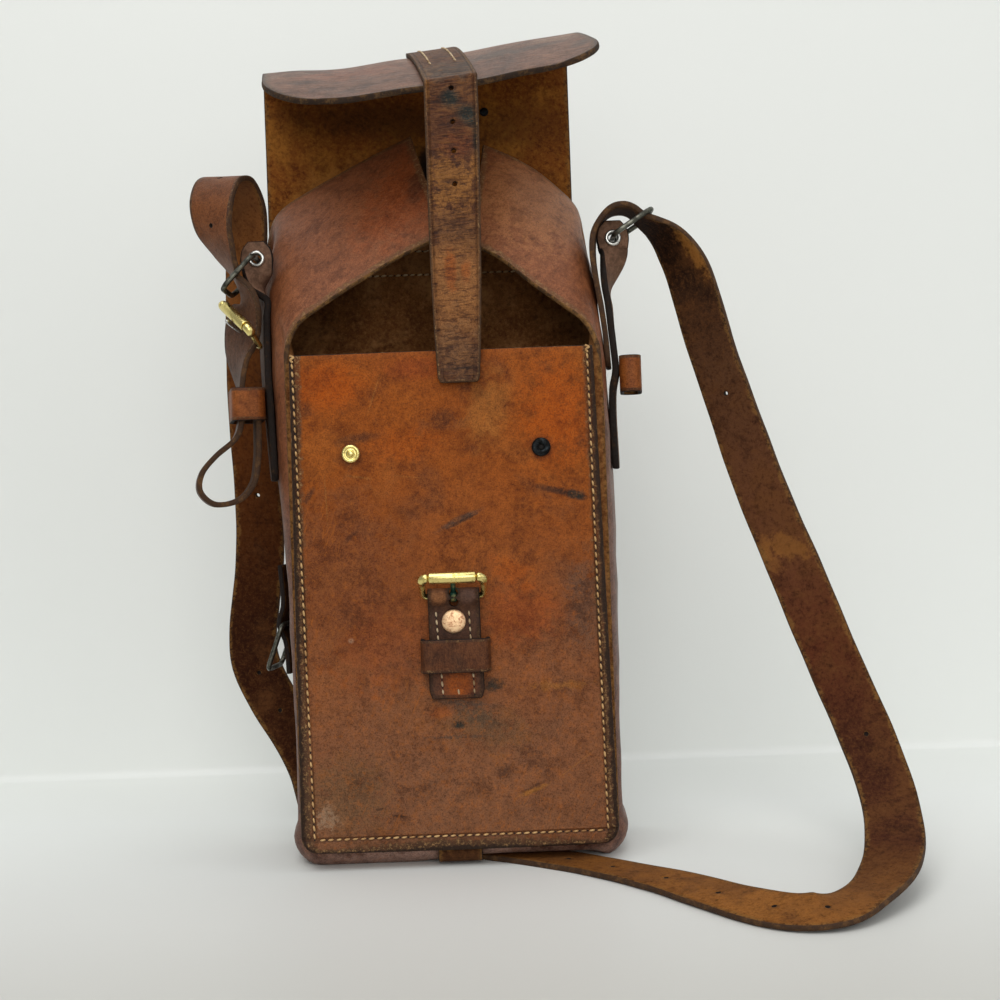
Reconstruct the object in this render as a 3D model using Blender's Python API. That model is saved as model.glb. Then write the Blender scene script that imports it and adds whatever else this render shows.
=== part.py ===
"""Leather field bag with an open lid, a closing strap and a long shoulder strap.

Frame: X to the right, Y towards the back, Z up, the origin on the surface that the bag
stands on, below the middle of the body. Sizes are in millimetres until a mesh is made.
"""
import math

import bmesh
import bpy
import numpy as np
from mathutils import Matrix, Vector
from mathutils.bvhtree import BVHTree

MM = 0.001

# Leather and clearances
GAP = 0.35
PANEL_THICK = 3.0
GUSSET_THICK = 2.5
LID_THICK = 3.2
STRAP_THICK = 2.8
STRAP_WIDTH = 26.6
TAB_THICK = 3.6
KEEPER_THICK = 2.0

# Body
BODY_DEPTH = 84.0
FRONT_Y = -BODY_DEPTH / 2
BACK_Y = BODY_DEPTH / 2
PANEL_BOTTOM = 10.0
PANEL_TOP = 260.0
PANEL_HALF_TOP = 76.5
PANEL_HALF_BOTTOM = 80.0
PANEL_CORNER = 8.0
PANEL_BULGE = 1.5
BACK_TOP = 338.0
GUSSET_Y = BODY_DEPTH / 2 - PANEL_THICK - GAP - GUSSET_THICK / 2

# Lid
LID_FOOT = 305.0
LID_HALF = 84.5
LID_FLARE = 3.4
LID_BEND_LEFT = 421.5
LID_BEND_SLOPE = 0.0985
LID_SAG = 2.5
LID_BEND_RADIUS = 12.0
LID_NEAR_Y = -44.0
LID_DROOP = 37.0
LID_DROOP_POWER = 1.3
LID_CORNER = 27.0
LID_CURL = 4.0
LID_CURL_LEFT = 3.0
LID_CENTRE = 2.4
LID_SKEW = 15.0
LID_Y = BACK_Y + GAP + LID_THICK / 2

# Front buckle and its leather
BUCKLE_X = 1.2
HEEL_Y = -48.8
HEEL_Z = 137.0
BUCKLE_LENGTH = 14.9
BUCKLE_RISE = 42.0
BUCKLE_WIDTH = 30.4
WIRE_RADIUS = 1.5
ROLLER_RADIUS = 2.9
ROLLER_BORE = 1.9
ROLLER_LENGTH = 23.0
PRONG_RISE = 68.0
PRONG_LENGTH = 13.6
PRONG_WIDTH = 3.0
PRONG_EYE = 3.0
CHAPE_WIDTH = 25.0
CHAPE_THICK = 2.4
CHAPE_FOOT = 86.0
SLOT_WIDTH = 4.6

# Keeper over the front chape: reach to each side, height of its two edges, stand-off
FRONT_KEEPER_HALF = 16.5
FRONT_KEEPER_EDGES = (99.6, 115.6)
FRONT_KEEPER_STAND = 8.75

# Closing strap: its middle to the right of the lid's, its half width, its foot
CLOSING_SHIFT = 6.6
CLOSING_HALF = 13.0
CLOSING_FOOT_X = 7.8
CLOSING_BEND_ROOM = 0.8
CLOSING_HOLE_X = 9.4
CLOSING_HOLE_RADIUS = 1.4
CLOSING_HOLES = (379.0, 361.0, 345.0, 330.0)
# columns: height, half width, set back from the bend
CLOSING_HANG = [
    (372.0, 13.0, 0.4), (340.0, 12.7, 0.6), (310.0, 12.4, 0.2), (285.0, 11.8, -0.4),
    (262.0, 11.0, -1.3), (250.0, 10.3, -1.9), (246.5, 10.1, -2.0), (244.0, 9.0, -2.0),
]

# Metal fittings: where they sit, then their profiles of radius and height
RIVET_X = 0.9
RIVET_Z = 124.6
SNAP_Z = 210.0
POST_X = -47.9
EYELET_X = 47.7
LID_RIVET_X = 25.1
LID_RIVET_Z = 401.0
RIVET_PROFILE = [
    (0, -1.9), (3.6, -1.8), (5.6, -1.3), (6.0, -0.7), (6.0, -0.5), (1.5, -0.5), (1.5, 4.7),
    (0, 4.7),
]
POST_PROFILE = [
    (0, -2.95), (1.3, -2.95), (1.8, -2.05), (2.6, -1.55), (3.4, -2.15), (4.4, -1.85),
    (4.7, -0.95), (4.7, -0.35), (0, -0.35),
]
EYELET_PROFILE = [
    (1.5, -0.65), (1.8, -1.65), (3.6, -1.85), (4.7, -1.15), (4.8, -0.35), (1.5, -0.35),
]
LID_RIVET_PROFILE = [(0, -1.55), (1.6, -1.35), (2.4, -0.65), (2.4, -0.35), (0, -0.35)]

# Short loop below the front's bottom edge
BOTTOM_KEEPER_THICK = 1.9
BOTTOM_KEEPER_X = (-11.2, 0.0, 10.4)
# columns: depth, height
BOTTOM_KEEPER_PATH = [
    (-37.6, 9.6), (-37.9, 6.6), (-36.9, 4.1), (-34.6, 2.7), (-31.0, 2.45),
]

# Buckle on the left end of the shoulder strap
STRAP_BUCKLE_CENTRE = (-106.5, -7.0, 280.6)
STRAP_BUCKLE_SIDE = (0.564, -0.628, -0.537)
STRAP_BUCKLE_REACH = (-0.28, -0.757, 0.59)
STRAP_PRONG_RISE = 17.5
STRAP_PRONG_LENGTH = 17.5
PRONG_HOLE_RADIUS = 2.3

# Side rings and the drop ring
RING_WIRE = 1.35
RING_REACH = 23.4
RING_SPAN = 31.0
RING_CORNER = 5.0
LUG_LEFT = (-97.2, -6.0, 315.4)
LUG_RIGHT = (90.7, -2.0, 320.3)
LEFT_RING_WAY = (-0.69, 0.0, -0.72)
RIGHT_RING_WAY = (0.845, 0.0, 0.534)
TAB_HALF = 11.0
TAB_DEPTH = 0.0
# columns: height, width, share of the strap's thickness below the right tab, lift
TAB_ROWS = [
    (199.0, 12.0, 0.0, 0.0), (205.0, 20.0, 0.0, 0.0), (226.0, 22.0, 0.0, 0.0),
    (240.0, 22.0, 0.3, 0.0), (250.0, 22.0, 1.0, 0.2), (262.0, 22.0, 1.0, 0.2),
    (273.0, 21.0, 1.0, 0.2), (284.0, 19.0, 1.0, 0.6), (295.0, 16.5, 1.0, 1.6),
]
# columns: height above the eyelet, width, turn towards the front
LUG_ROWS = [
    (-10.0, 14.5, 0.6), (-4.5, 15.0, 0.92), (0.0, 16.0, 1.0), (5.0, 14.0, 1.0),
    (8.8, 8.0, 1.0),
]
# columns: name, side, lower edge, upper edge, room outwards, half length, corner
KEEPERS = [
    ("side_keeper_right", 1, 238.5, 257.0, 9.5, 14.0, 4.0),
    ("side_keeper_left", -1, 230.5, 247.0, 15.5, 16.3, 3.6),
]
EYELET_BORE = 2.4
EYELET_OUTER = 4.4
EYELET_NECK = 0.5
LUG_HOLE_RADIUS = EYELET_BORE + 0.9
DROP_DEPTH = 20.0
DROP_BAR_HEIGHT = 121.5
DROP_WIDTH = 19.0
DROP_HUMP = 7.0
DROP_SPAN = 27.0
DROP_REACH = 25.0
DROP_CORNER = 4.0
DROP_HANG = (-0.34, 0.0, -0.94)
DROP_HEIGHTS = (153.0, 145.0, 137.0, 131.5, 127.0, 124.5, 121.5, 118.5, 116.0, 111.5, 106.0,
                100.0, 95.0)

# Gusset sections, from the end of each wing down to the foot of the side.
# columns: front_x, front_z, back_x, back_z, front_y, back_y, seam_front, seam_back, bulge
GUSSET_LEFT = [
    (3.0, 322.0, -16.0, 386.0, -22.0, 34.5, 0.0, 0.0, 2.0),
    (-20.0, 310.5, -34.0, 377.5, -29.0, 34.5, 0.0, 0.0, 4.0),
    (-45.0, 295.5, -55.0, 367.0, -35.0, 34.5, 0.0, 0.0, 5.0),
    (-63.0, 284.0, -76.0, 356.0, -37.0, 34.5, 0.0, 0.0, 5.0),
    (-72.5, 277.0, -89.0, 347.5, -GUSSET_Y, 35.0, 0.0, 0.0, 4.0),
    (-78.0, 267.0, -95.0, 337.0, -GUSSET_Y, 36.0, 0.1, 0.5, 2.5),
    (-80.0, 254.0, -98.5, 320.0, -GUSSET_Y, GUSSET_Y, 0.8, 1.0, 2.0),
    (-80.0, 232.0, -99.5, 283.0, -GUSSET_Y, GUSSET_Y, 1.0, 1.0, 2.0),
    (-80.0, 190.0, -95.5, 220.0, -GUSSET_Y, GUSSET_Y, 1.0, 1.0, 2.0),
    (-80.0, 130.0, -89.0, 140.0, -GUSSET_Y, GUSSET_Y, 1.0, 1.0, 1.8),
    (-80.0, 60.0, -86.0, 62.0, -GUSSET_Y, GUSSET_Y, 1.0, 1.0, 1.5),
    (-80.0, 22.0, -84.5, 22.0, -GUSSET_Y, GUSSET_Y, 1.0, 1.0, 2.5),
]
GUSSET_RIGHT = [
    (15.0, 317.0, 24.0, 380.0, -22.0, 34.5, 0.0, 0.0, 2.0),
    (30.0, 308.0, 37.0, 374.0, -30.0, 34.5, 0.0, 0.0, 4.0),
    (47.0, 293.0, 52.0, 365.0, -35.0, 34.5, 0.0, 0.0, 5.0),
    (63.0, 280.5, 66.0, 352.5, -37.0, 34.5, 0.0, 0.0, 5.0),
    (71.5, 273.5, 73.5, 343.5, -GUSSET_Y, 35.0, 0.0, 0.0, 2.0),
    (77.0, 264.0, 76.5, 332.0, -GUSSET_Y, 36.0, 0.1, 0.5, 1.0),
    (79.5, 252.0, 79.5, 316.0, -GUSSET_Y, GUSSET_Y, 0.8, 1.0, 1.0),
    (80.0, 230.0, 83.5, 280.0, -GUSSET_Y, GUSSET_Y, 1.0, 1.0, 1.2),
    (80.0, 195.0, 87.0, 232.0, -GUSSET_Y, GUSSET_Y, 1.0, 1.0, 1.2),
    (80.0, 130.0, 87.5, 140.0, -GUSSET_Y, GUSSET_Y, 1.0, 1.0, 1.5),
    (80.0, 60.0, 84.5, 62.0, -GUSSET_Y, GUSSET_Y, 1.0, 1.0, 1.5),
    (80.0, 22.0, 82.0, 22.0, -GUSSET_Y, GUSSET_Y, 1.0, 1.0, 2.5),
]
GUSSET_STEPS = 2
BOTTOM_BULGE = 12.0
BOTTOM_ROW_PITCH = 14.0
CHANNEL_LIFT = 3.6
CHANNEL_HALF = 19.0
CHANNEL_SHOULDER = 10.0
CHANNEL_TOP = 16.0

# Gusset section across the depth where it is sewn to a panel: outward step and distance
# from the panel, then the share of the bulge that each point takes.
# columns: outward, from_panel, bulge_share
SEAM_PROFILE = [
    (0.0, 0.0, 0.0),
    (-4.5, 0.0, 0.0),
    (-6.8, 2.2, 0.2),
    (-4.6, 7.0, 0.75),
    (-0.4, 15.0, 0.85),
    (0.0, 26.0, 0.97),
    (0.0, GUSSET_Y, 1.0),
]

# Shoulder strap, from its right end to the tip of its tail on the left.
# columns: x, y, z of the middle line, then the direction across the width
SHOULDER_ROUTE = [
    (86.2, -1.0, 252.0, -0.09, -1.0, 0.0),
    (85.1, -1.0, 270.0, -0.09, -1.0, 0.0),
    (83.2, -1.5, 286.0, -0.1, -1.0, 0.0),
    (81.2, -2.0, 299.0, -0.1, -1.0, 0.0),
    (80.0, -2.0, 311.0, -0.1, -1.0, 0.0),
    (80.6, -2.0, 321.0, -0.08, -1.0, 0.0),
    (83.8, -2.0, 329.0, 0.0, -1.0, 0.0),
    (89.6, -2.0, 334.6, 0.0, -1.0, 0.0),
    (96.0, -2.0, 336.0, 0.0, -1.0, 0.0),
    (101.4, -2.0, 334.2, 0.0, -1.0, 0.0),
    (106.0, -2.0, 329.9, 0.03, -1.0, 0.03),
    (113.0, -2.4, 324.5, 0.18, -0.97, 0.1),
    (121.6, -4.0, 315.2, 0.48, -0.84, 0.24),
    (128.8, -5.5, 302.0, 0.66, -0.7, 0.28),
    (133.7, -6.5, 285.0, 0.74, -0.62, 0.27),
    (140.2, -6.0, 260.0, 0.74, -0.62, 0.27),
    (147.6, -5.5, 236.0, 0.76, -0.6, 0.28),
    (154.6, -6.0, 213.0, 0.8, -0.53, 0.3),
    (161.2, -8.5, 191.0, 0.85, -0.45, 0.3),
    (168.8, -12.5, 168.0, 0.87, -0.38, 0.3),
    (177.7, -17.5, 143.0, 0.9, -0.3, 0.3),
    (187.0, -24.0, 115.0, 0.94, -0.2, 0.26),
    (196.0, -32.0, 88.0, 0.96, -0.12, 0.2),
    (204.8, -46.0, 60.0, 0.98, -0.1, 0.1),
    (209.0, -68.0, 34.5, 0.98, -0.15, 0.0),
    (204.0, -98.0, 18.0, 0.94, -0.28, 0.05),
    (192.0, -127.0, 10.5, 0.84, -0.5, 0.12),
    (176.0, -148.5, 7.0, 0.6, -0.75, 0.06),
    (158.0, -163.0, 6.2, 0.1, -0.95, -0.22),
    (140.0, -157.0, 5.0, -0.45, -0.85, -0.22),
    (120.3, -129.0, 3.7, -0.72, -0.68, -0.13),
    (100.8, -95.5, 2.6, -0.78, -0.62, -0.06),
    (78.0, -66.0, 1.7, -0.74, -0.67, 0.0),
    (54.0, -42.0, 1.4, -0.66, -0.75, 0.0),
    (22.0, -18.0, 1.4, -0.56, -0.83, 0.0),
    (-12.0, 3.0, 1.4, -0.52, -0.85, 0.0),
    (-44.0, 22.0, 1.4, -0.52, -0.85, 0.0),
    (-62.0, 34.0, 1.7, -0.54, -0.84, 0.0),
    (-72.0, 43.5, 3.4, -0.6, -0.78, -0.04),
    (-80.5, 53.5, 14.0, -0.7, -0.62, -0.25),
    (-86.5, 61.0, 35.5, -0.83, -0.3, -0.42),
    (-97.6, 67.0, 56.0, -0.85, -0.15, -0.46),
    (-110.0, 70.0, 76.0, -0.87, -0.05, -0.46),
    (-118.0, 70.0, 95.0, -0.93, 0.0, -0.32),
    (-119.0, 69.0, 112.0, -0.98, 0.02, -0.12),
    (-116.0, 66.0, 132.0, -1.0, 0.04, 0.08),
    (-112.3, 62.0, 156.0, -1.0, 0.07, 0.1),
    (-110.8, 57.0, 184.0, -1.0, 0.1, 0.06),
    (-111.3, 51.5, 212.0, -0.96, 0.25, 0.03),
    (-112.2, 45.5, 240.0, -0.9, 0.4, 0.0),
    (-112.0, 38.5, 272.0, -0.85, 0.52, 0.0),
    (-110.2, 31.5, 304.0, -0.82, 0.57, 0.0),
    (-107.3, 25.5, 333.0, -0.86, 0.5, 0.05),
    (-107.3, 19.0, 350.0, -0.88, 0.47, 0.08),
    (-110.8, 7.5, 359.8, -0.88, 0.47, 0.1),
    (-115.5, -6.5, 357.0, -0.88, 0.47, 0.1),
    (-117.8, -16.0, 345.0, -0.88, 0.47, 0.06),
    (-117.4, -16.5, 330.0, -0.74, 0.67, 0.02),
    (-113.2, -10.5, 317.0, -0.42, 0.91, 0.0),
    (-107.7, -6.0, 304.9, -0.14, 0.99, 0.0),
    (-103.0, -8.5, 292.0, -0.5, 0.75, 0.35),
    (-105.6, -5.8, 280.5, -0.56, 0.5, 0.66),
    (-109.0, -2.8, 267.0, -0.5, 0.7, 0.4),
    (-108.4, -3.8, 248.0, -0.22, 0.975, 0.0),
    (-108.8, -3.7, 238.0, -0.22, 0.975, 0.0),
    (-109.4, -3.9, 229.5, -0.22, 0.975, 0.0),
    (-112.6, -4.6, 221.0, -0.22, 0.975, 0.0),
    (-122.6, -6.4, 212.5, -0.22, 0.975, 0.0),
    (-130.0, -8.0, 203.5, -0.22, 0.975, 0.0),
    (-131.2, -8.2, 194.0, -0.22, 0.975, 0.0),
    (-123.8, -6.7, 187.2, -0.22, 0.975, 0.0),
    (-111.5, -4.3, 189.2, -0.22, 0.975, 0.0),
    (-104.0, -2.6, 198.0, -0.22, 0.975, 0.0),
    (-101.5, -2.0, 211.0, -0.22, 0.975, 0.0),
    (-100.9, -1.9, 224.0, -0.22, 0.975, 0.0),
    (-100.7, -1.9, 236.5, -0.22, 0.975, 0.0),
]
SHOULDER_STEPS = 2

# Materials: colour, roughness, metallic
TAN_LEATHER = (0.30, 0.11, 0.035, 0.5, 0.0)
BROWN_LEATHER = (0.16, 0.055, 0.025, 0.5, 0.0)
DARK_LEATHER = (0.075, 0.028, 0.018, 0.5, 0.0)
BRASS = (0.72, 0.56, 0.24, 0.28, 1.0)
COPPER = (0.86, 0.52, 0.40, 0.38, 1.0)
DARK_STEEL = (0.13, 0.13, 0.11, 0.42, 1.0)
STEEL = (0.55, 0.55, 0.52, 0.3, 1.0)


def clear_scene():
    """Remove every object, so that the script can run twice."""
    for item in list(bpy.data.objects):
        bpy.data.objects.remove(item, do_unlink=True)


def finish(name, look):
    """Make one Principled material from a colour, a roughness and a metallic value."""
    material = bpy.data.materials.new(name)
    material.use_nodes = True
    shader = material.node_tree.nodes["Principled BSDF"]
    shader.inputs["Base Color"].default_value = (*look[:3], 1.0)
    shader.inputs["Roughness"].default_value = look[3]
    shader.inputs["Metallic"].default_value = look[4]
    return material


def add_piece(name, points, faces, look, anchor=(0.0, 0.0, 0.0)):
    """Make one object from points in millimetres and faces, with its origin at the anchor."""
    mesh = bpy.data.meshes.new(name)
    anchor = np.asarray(anchor, float)
    mesh.from_pydata([tuple(p) for p in (np.asarray(points) - anchor) * MM], [], faces)
    work = bmesh.new()
    work.from_mesh(mesh)
    bmesh.ops.recalc_face_normals(work, faces=work.faces)
    work.to_mesh(mesh)
    work.free()
    mesh.shade_smooth()
    mesh.set_sharp_from_angle(angle=math.radians(35))
    item = bpy.data.objects.new(name, mesh)
    item.location = anchor * MM
    item.data.materials.append(finish(name, look))
    bpy.context.scene.collection.objects.link(item)
    return item


def unit(vectors):
    """Scale vectors to length one along the last axis."""
    return vectors / np.linalg.norm(vectors, axis=-1, keepdims=True)


def smooth_rows(rows, steps):
    """Run a Catmull-Rom curve through table rows, with the given steps to each row."""
    table = np.asarray(rows, float)
    before = np.vstack([2 * table[0] - table[1], table[:-2]])
    start, end = table[:-1], table[1:]
    after = np.vstack([table[2:], 2 * table[-1] - table[-2]])
    out = []
    for a, b, c, d in zip(before, start, end, after):
        for step in range(steps):
            t = step / steps
            out.append(0.5 * (2 * b + (c - a) * t + (2 * a - 5 * b + 4 * c - d) * t * t
                              + (3 * b - a - 3 * c + d) * t ** 3))
    out.append(table[-1])
    return np.array(out)


def surface_normals(mid, closed=False):
    """Unit normals of a grid of points, rows by columns; closed joins last row to first."""
    if closed:
        wrapped = np.concatenate([mid[-1:], mid, mid[:1]])
        along = np.gradient(wrapped, axis=0)[1:-1]
    else:
        along = np.gradient(mid, axis=0)
    across = np.gradient(mid, axis=1)
    return unit(np.cross(along, across))


def wall_between(name, outer, inner, look, closed=False):
    """Close the space between two grids of the same size into one solid wall."""
    rows, columns = outer.shape[:2]
    points = np.concatenate([outer.reshape(-1, 3), inner.reshape(-1, 3)])
    shift = rows * columns

    def at(row, column, side):
        return side * shift + (row % rows) * columns + column

    faces = []
    last = rows if closed else rows - 1
    for r in range(last):
        for c in range(columns - 1):
            faces.append([at(r, c, 0), at(r, c + 1, 0), at(r + 1, c + 1, 0), at(r + 1, c, 0)])
            faces.append([at(r, c, 1), at(r + 1, c, 1), at(r + 1, c + 1, 1), at(r, c + 1, 1)])
        for c in (0, columns - 1):
            faces.append([at(r, c, 0), at(r + 1, c, 0), at(r + 1, c, 1), at(r, c, 1)])
    if not closed:
        for r in (0, rows - 1):
            for c in range(columns - 1):
                faces.append([at(r, c, 0), at(r, c + 1, 0), at(r, c + 1, 1), at(r, c, 1)])
    return add_piece(name, points, faces, look)


def sheet(name, mid, thickness, look, closed=False):
    """Thicken a grid of middle points evenly to both sides."""
    offset = surface_normals(mid, closed) * thickness / 2
    return wall_between(name, mid + offset, mid - offset, look, closed)


def ribbon_grid(route, widths, columns=3):
    """Carry a straight width along a route whose rows hold a point and a direction."""
    centre = route[:, :3]
    along = unit(np.gradient(centre, axis=0))
    across = route[:, 3:6]
    across = unit(across - along * np.sum(along * across, axis=1, keepdims=True))
    places = np.linspace(-0.5, 0.5, columns)
    return centre[:, None] + across[:, None] * (np.asarray(widths)[:, None] * places)[..., None]


def turned(name, profile, centre, axis, look, segments=16):
    """Turn a profile of radius and height pairs about an axis; a bored one has no radius 0."""
    turn = Vector(axis).to_track_quat("Z", "Y").to_matrix().to_4x4()
    place = Matrix.Translation(Vector(centre)) @ turn
    points, rings = [], []
    for radius, height in profile:
        ring = []
        for k in range(1 if radius == 0 else segments):
            angle = 2 * math.pi * k / segments
            spot = Vector((radius * math.cos(angle), radius * math.sin(angle), height))
            ring.append(len(points))
            points.append(place @ spot)
        rings.append(ring)
    pairs = list(zip(rings[:-1], rings[1:]))
    if profile[0][0] > 0:
        pairs.append((rings[-1], rings[0]))
    faces = []
    for low, high in pairs:
        for k in range(segments):
            corners = [low[k % len(low)], low[(k + 1) % len(low)],
                       high[(k + 1) % len(high)], high[k % len(high)]]
            faces.append(list(dict.fromkeys(corners)))
    return add_piece(name, points, faces, look, centre)


def wire_loop(name, path, normal, radius, look, anchor, sides=6):
    """Carry a round wire along a closed flat path; the anchor is the middle of its bar."""
    path = np.asarray(path, float)
    along = unit(np.roll(path, -1, axis=0) - np.roll(path, 1, axis=0))
    up = unit(np.asarray(normal, float))
    out = np.cross(along, up)
    angles = np.arange(sides) * 2 * math.pi / sides
    ring = (out[:, None] * np.cos(angles)[None, :, None]
            + up[None, None] * np.sin(angles)[None, :, None])
    points = (path[:, None] + radius * ring).reshape(-1, 3)
    count = len(path)
    faces = []
    for r in range(count):
        for s in range(sides):
            follow = (s + 1) % sides
            ahead = (r + 1) % count
            faces.append([r * sides + s, r * sides + follow,
                          ahead * sides + follow, ahead * sides + s])
    return add_piece(name, points, faces, look, anchor)


def rounded_frame(centre, side_axis, reach_axis, span, reach, corner, arc_steps=3):
    """Points of a rounded rectangle: centre of its near bar, its two axes and its size."""
    centre, side_axis, reach_axis = (np.asarray(v, float) for v in (centre, side_axis, reach_axis))
    points = []
    corners = [(span / 2 - corner, corner, -90), (span / 2 - corner, reach - corner, 0),
               (-span / 2 + corner, reach - corner, 90), (-span / 2 + corner, corner, 180)]
    for along_span, along_reach, begin in corners:
        for step in range(arc_steps + 1):
            angle = math.radians(begin + 90 * step / arc_steps)
            points.append(centre
                          + side_axis * (along_span + corner * math.cos(angle))
                          + reach_axis * (along_reach + corner * math.sin(angle)))
    return points


def cutter_box(name, low, high):
    """A hidden box that a Boolean cuts away."""
    x, y, z = np.meshgrid(*zip(low, high), indexing="ij")
    points = np.stack([x, y, z], axis=-1).reshape(-1, 3)
    faces = [[0, 1, 3, 2], [4, 6, 7, 5], [0, 4, 5, 1], [2, 3, 7, 6], [0, 2, 6, 4], [1, 5, 7, 3]]
    return hide(add_piece(name, points, faces, DARK_STEEL))


def cutter_round(name, centre, axis, radius, length, sides=12):
    """A hidden cylinder that a Boolean cuts away."""
    half = length / 2
    profile = [(0, -half), (radius, -half), (radius, half), (0, half)]
    return hide(turned(name, profile, centre, axis, DARK_STEEL, sides))


def hide(item):
    """Mark a cutter or a guide as no part of the object."""
    item.hide_render = True
    item.display_type = "WIRE"
    return item


def combine(item, other, operation):
    """Apply another solid to this one with an exact Boolean."""
    change = item.modifiers.new(other.name, "BOOLEAN")
    change.operation = operation
    change.solver = "EXACT"
    change.object = other


def panel_face_y(x, z):
    """Outer face of the front panel: a slight crown that dies out at the edges."""
    wide = np.clip(1 - (np.asarray(x) / PANEL_HALF_BOTTOM) ** 2, 0, 1)
    share = np.clip((np.asarray(z) - PANEL_BOTTOM) / (PANEL_TOP - PANEL_BOTTOM), 0, 1)
    return FRONT_Y - PANEL_BULGE * wide * np.sqrt(4 * share * (1 - share))


def corner_pull(height, radius):
    """How far a rounded bottom corner pulls the side in at a height above the bottom."""
    rise = np.clip(radius - height, 0, radius)
    return radius - np.sqrt(radius ** 2 - rise ** 2)


def panel_heights(bottom, top, count):
    """Row heights: three in the rounded corner, then even ones."""
    corner = [bottom + PANEL_CORNER * (1 - math.cos(math.radians(a))) for a in (0, 35, 65)]
    return np.array(corner + list(np.linspace(bottom + PANEL_CORNER, top, count)))


def front_panel():
    """The flat front, crowned a little, narrower at its top edge."""
    heights = panel_heights(PANEL_BOTTOM, PANEL_TOP, 10)
    share = (heights - PANEL_BOTTOM) / (PANEL_TOP - PANEL_BOTTOM)
    half = PANEL_HALF_BOTTOM + (PANEL_HALF_TOP - PANEL_HALF_BOTTOM) * share
    half = half - corner_pull(heights - PANEL_BOTTOM, PANEL_CORNER)
    places = np.linspace(-1, 1, 11)
    x = half[:, None] * places - share[:, None]
    z = np.repeat(heights[:, None], len(places), axis=1)
    outer = np.stack([x, panel_face_y(x, z), z], axis=-1)
    inner = outer + np.array([0.0, PANEL_THICK, 0.0])
    wall_between("front_panel", outer, inner, TAN_LEATHER)


def back_outline(heights):
    """Left and right edge of the back at each height, from the gusset's sections."""
    sides = []
    for table in (GUSSET_LEFT, GUSSET_RIGHT):
        rows = sorted((row[3], row[2]) for row in table[5:])
        z, x = zip(*rows)
        sides.append(np.interp(heights, z, x))
    return sides


def back_panel():
    """The back, whose top edge carries the lid."""
    heights = panel_heights(PANEL_BOTTOM, BACK_TOP, 10)
    left, right = back_outline(heights)
    pull = corner_pull(heights - PANEL_BOTTOM, PANEL_CORNER)
    places = np.linspace(0, 1, 9)
    x = (left + pull)[:, None] + (right - left - 2 * pull)[:, None] * places
    z = np.repeat(heights[:, None], len(places), axis=1)
    inner = np.stack([x, np.full_like(x, BACK_Y - PANEL_THICK), z], axis=-1)
    outer = inner + np.array([0.0, PANEL_THICK, 0.0])
    wall_between("back_panel", outer, inner, BROWN_LEATHER)


def bottom_sections():
    """Gusset sections round the two bottom corners and along the bottom."""
    rows = []
    low_left, low_right = GUSSET_LEFT[-1], GUSSET_RIGHT[-1]
    centre_z = PANEL_BOTTOM + PANEL_CORNER
    reach = PANEL_HALF_BOTTOM - PANEL_CORNER

    def section(front_x, back_x, z, bulge):
        return (front_x, z, back_x, z, -GUSSET_Y, GUSSET_Y, 1.0, 1.0, bulge)

    turns = (20, 50, 80)
    for degrees in turns:
        angle = math.radians(degrees)
        out = PANEL_CORNER * math.cos(angle)
        z = centre_z - PANEL_CORNER * math.sin(angle)
        bulge = 4 + (BOTTOM_BULGE - 4) * degrees / 90
        back_x = low_left[2] + PANEL_CORNER - out
        rows.append(section(-reach - out, back_x, z, bulge))
    count = int(round(2 * (reach - 4) / BOTTOM_ROW_PITCH))
    for share in np.linspace(0, 1, count + 1):
        front_x = (reach - 4) * (2 * share - 1)
        back_left = low_left[2] + PANEL_CORNER + 4
        back_right = low_right[2] - PANEL_CORNER - 4
        back_x = back_left + (back_right - back_left) * share
        rows.append(section(front_x, back_x, PANEL_BOTTOM, BOTTOM_BULGE))
    for degrees in reversed(turns):
        angle = math.radians(degrees)
        out = PANEL_CORNER * math.cos(angle)
        z = centre_z - PANEL_CORNER * math.sin(angle)
        bulge = 4 + (BOTTOM_BULGE - 4) * degrees / 90
        rows.append(section(reach + out, low_right[2] - PANEL_CORNER + out, z, bulge))
    return rows


def strap_channel(x, y):
    """Lift of the bag's bottom where it rests on the strap that runs below it."""
    route = np.array([row[:2] for row in SHOULDER_ROUTE if row[2] < CHANNEL_TOP])
    nearest = np.full(np.shape(x), 1e9)
    for start, end in zip(route[:-1], route[1:]):
        run = end - start
        share = ((x - start[0]) * run[0] + (y - start[1]) * run[1]) / run.dot(run)
        share = np.clip(share, 0, 1)
        distance = np.hypot(x - start[0] - share * run[0], y - start[1] - share * run[1])
        nearest = np.minimum(nearest, distance)
    fade = np.clip((nearest - CHANNEL_HALF) / CHANNEL_SHOULDER, 0, 1)
    return CHANNEL_LIFT * (1 - fade * fade * (3 - 2 * fade))


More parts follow.
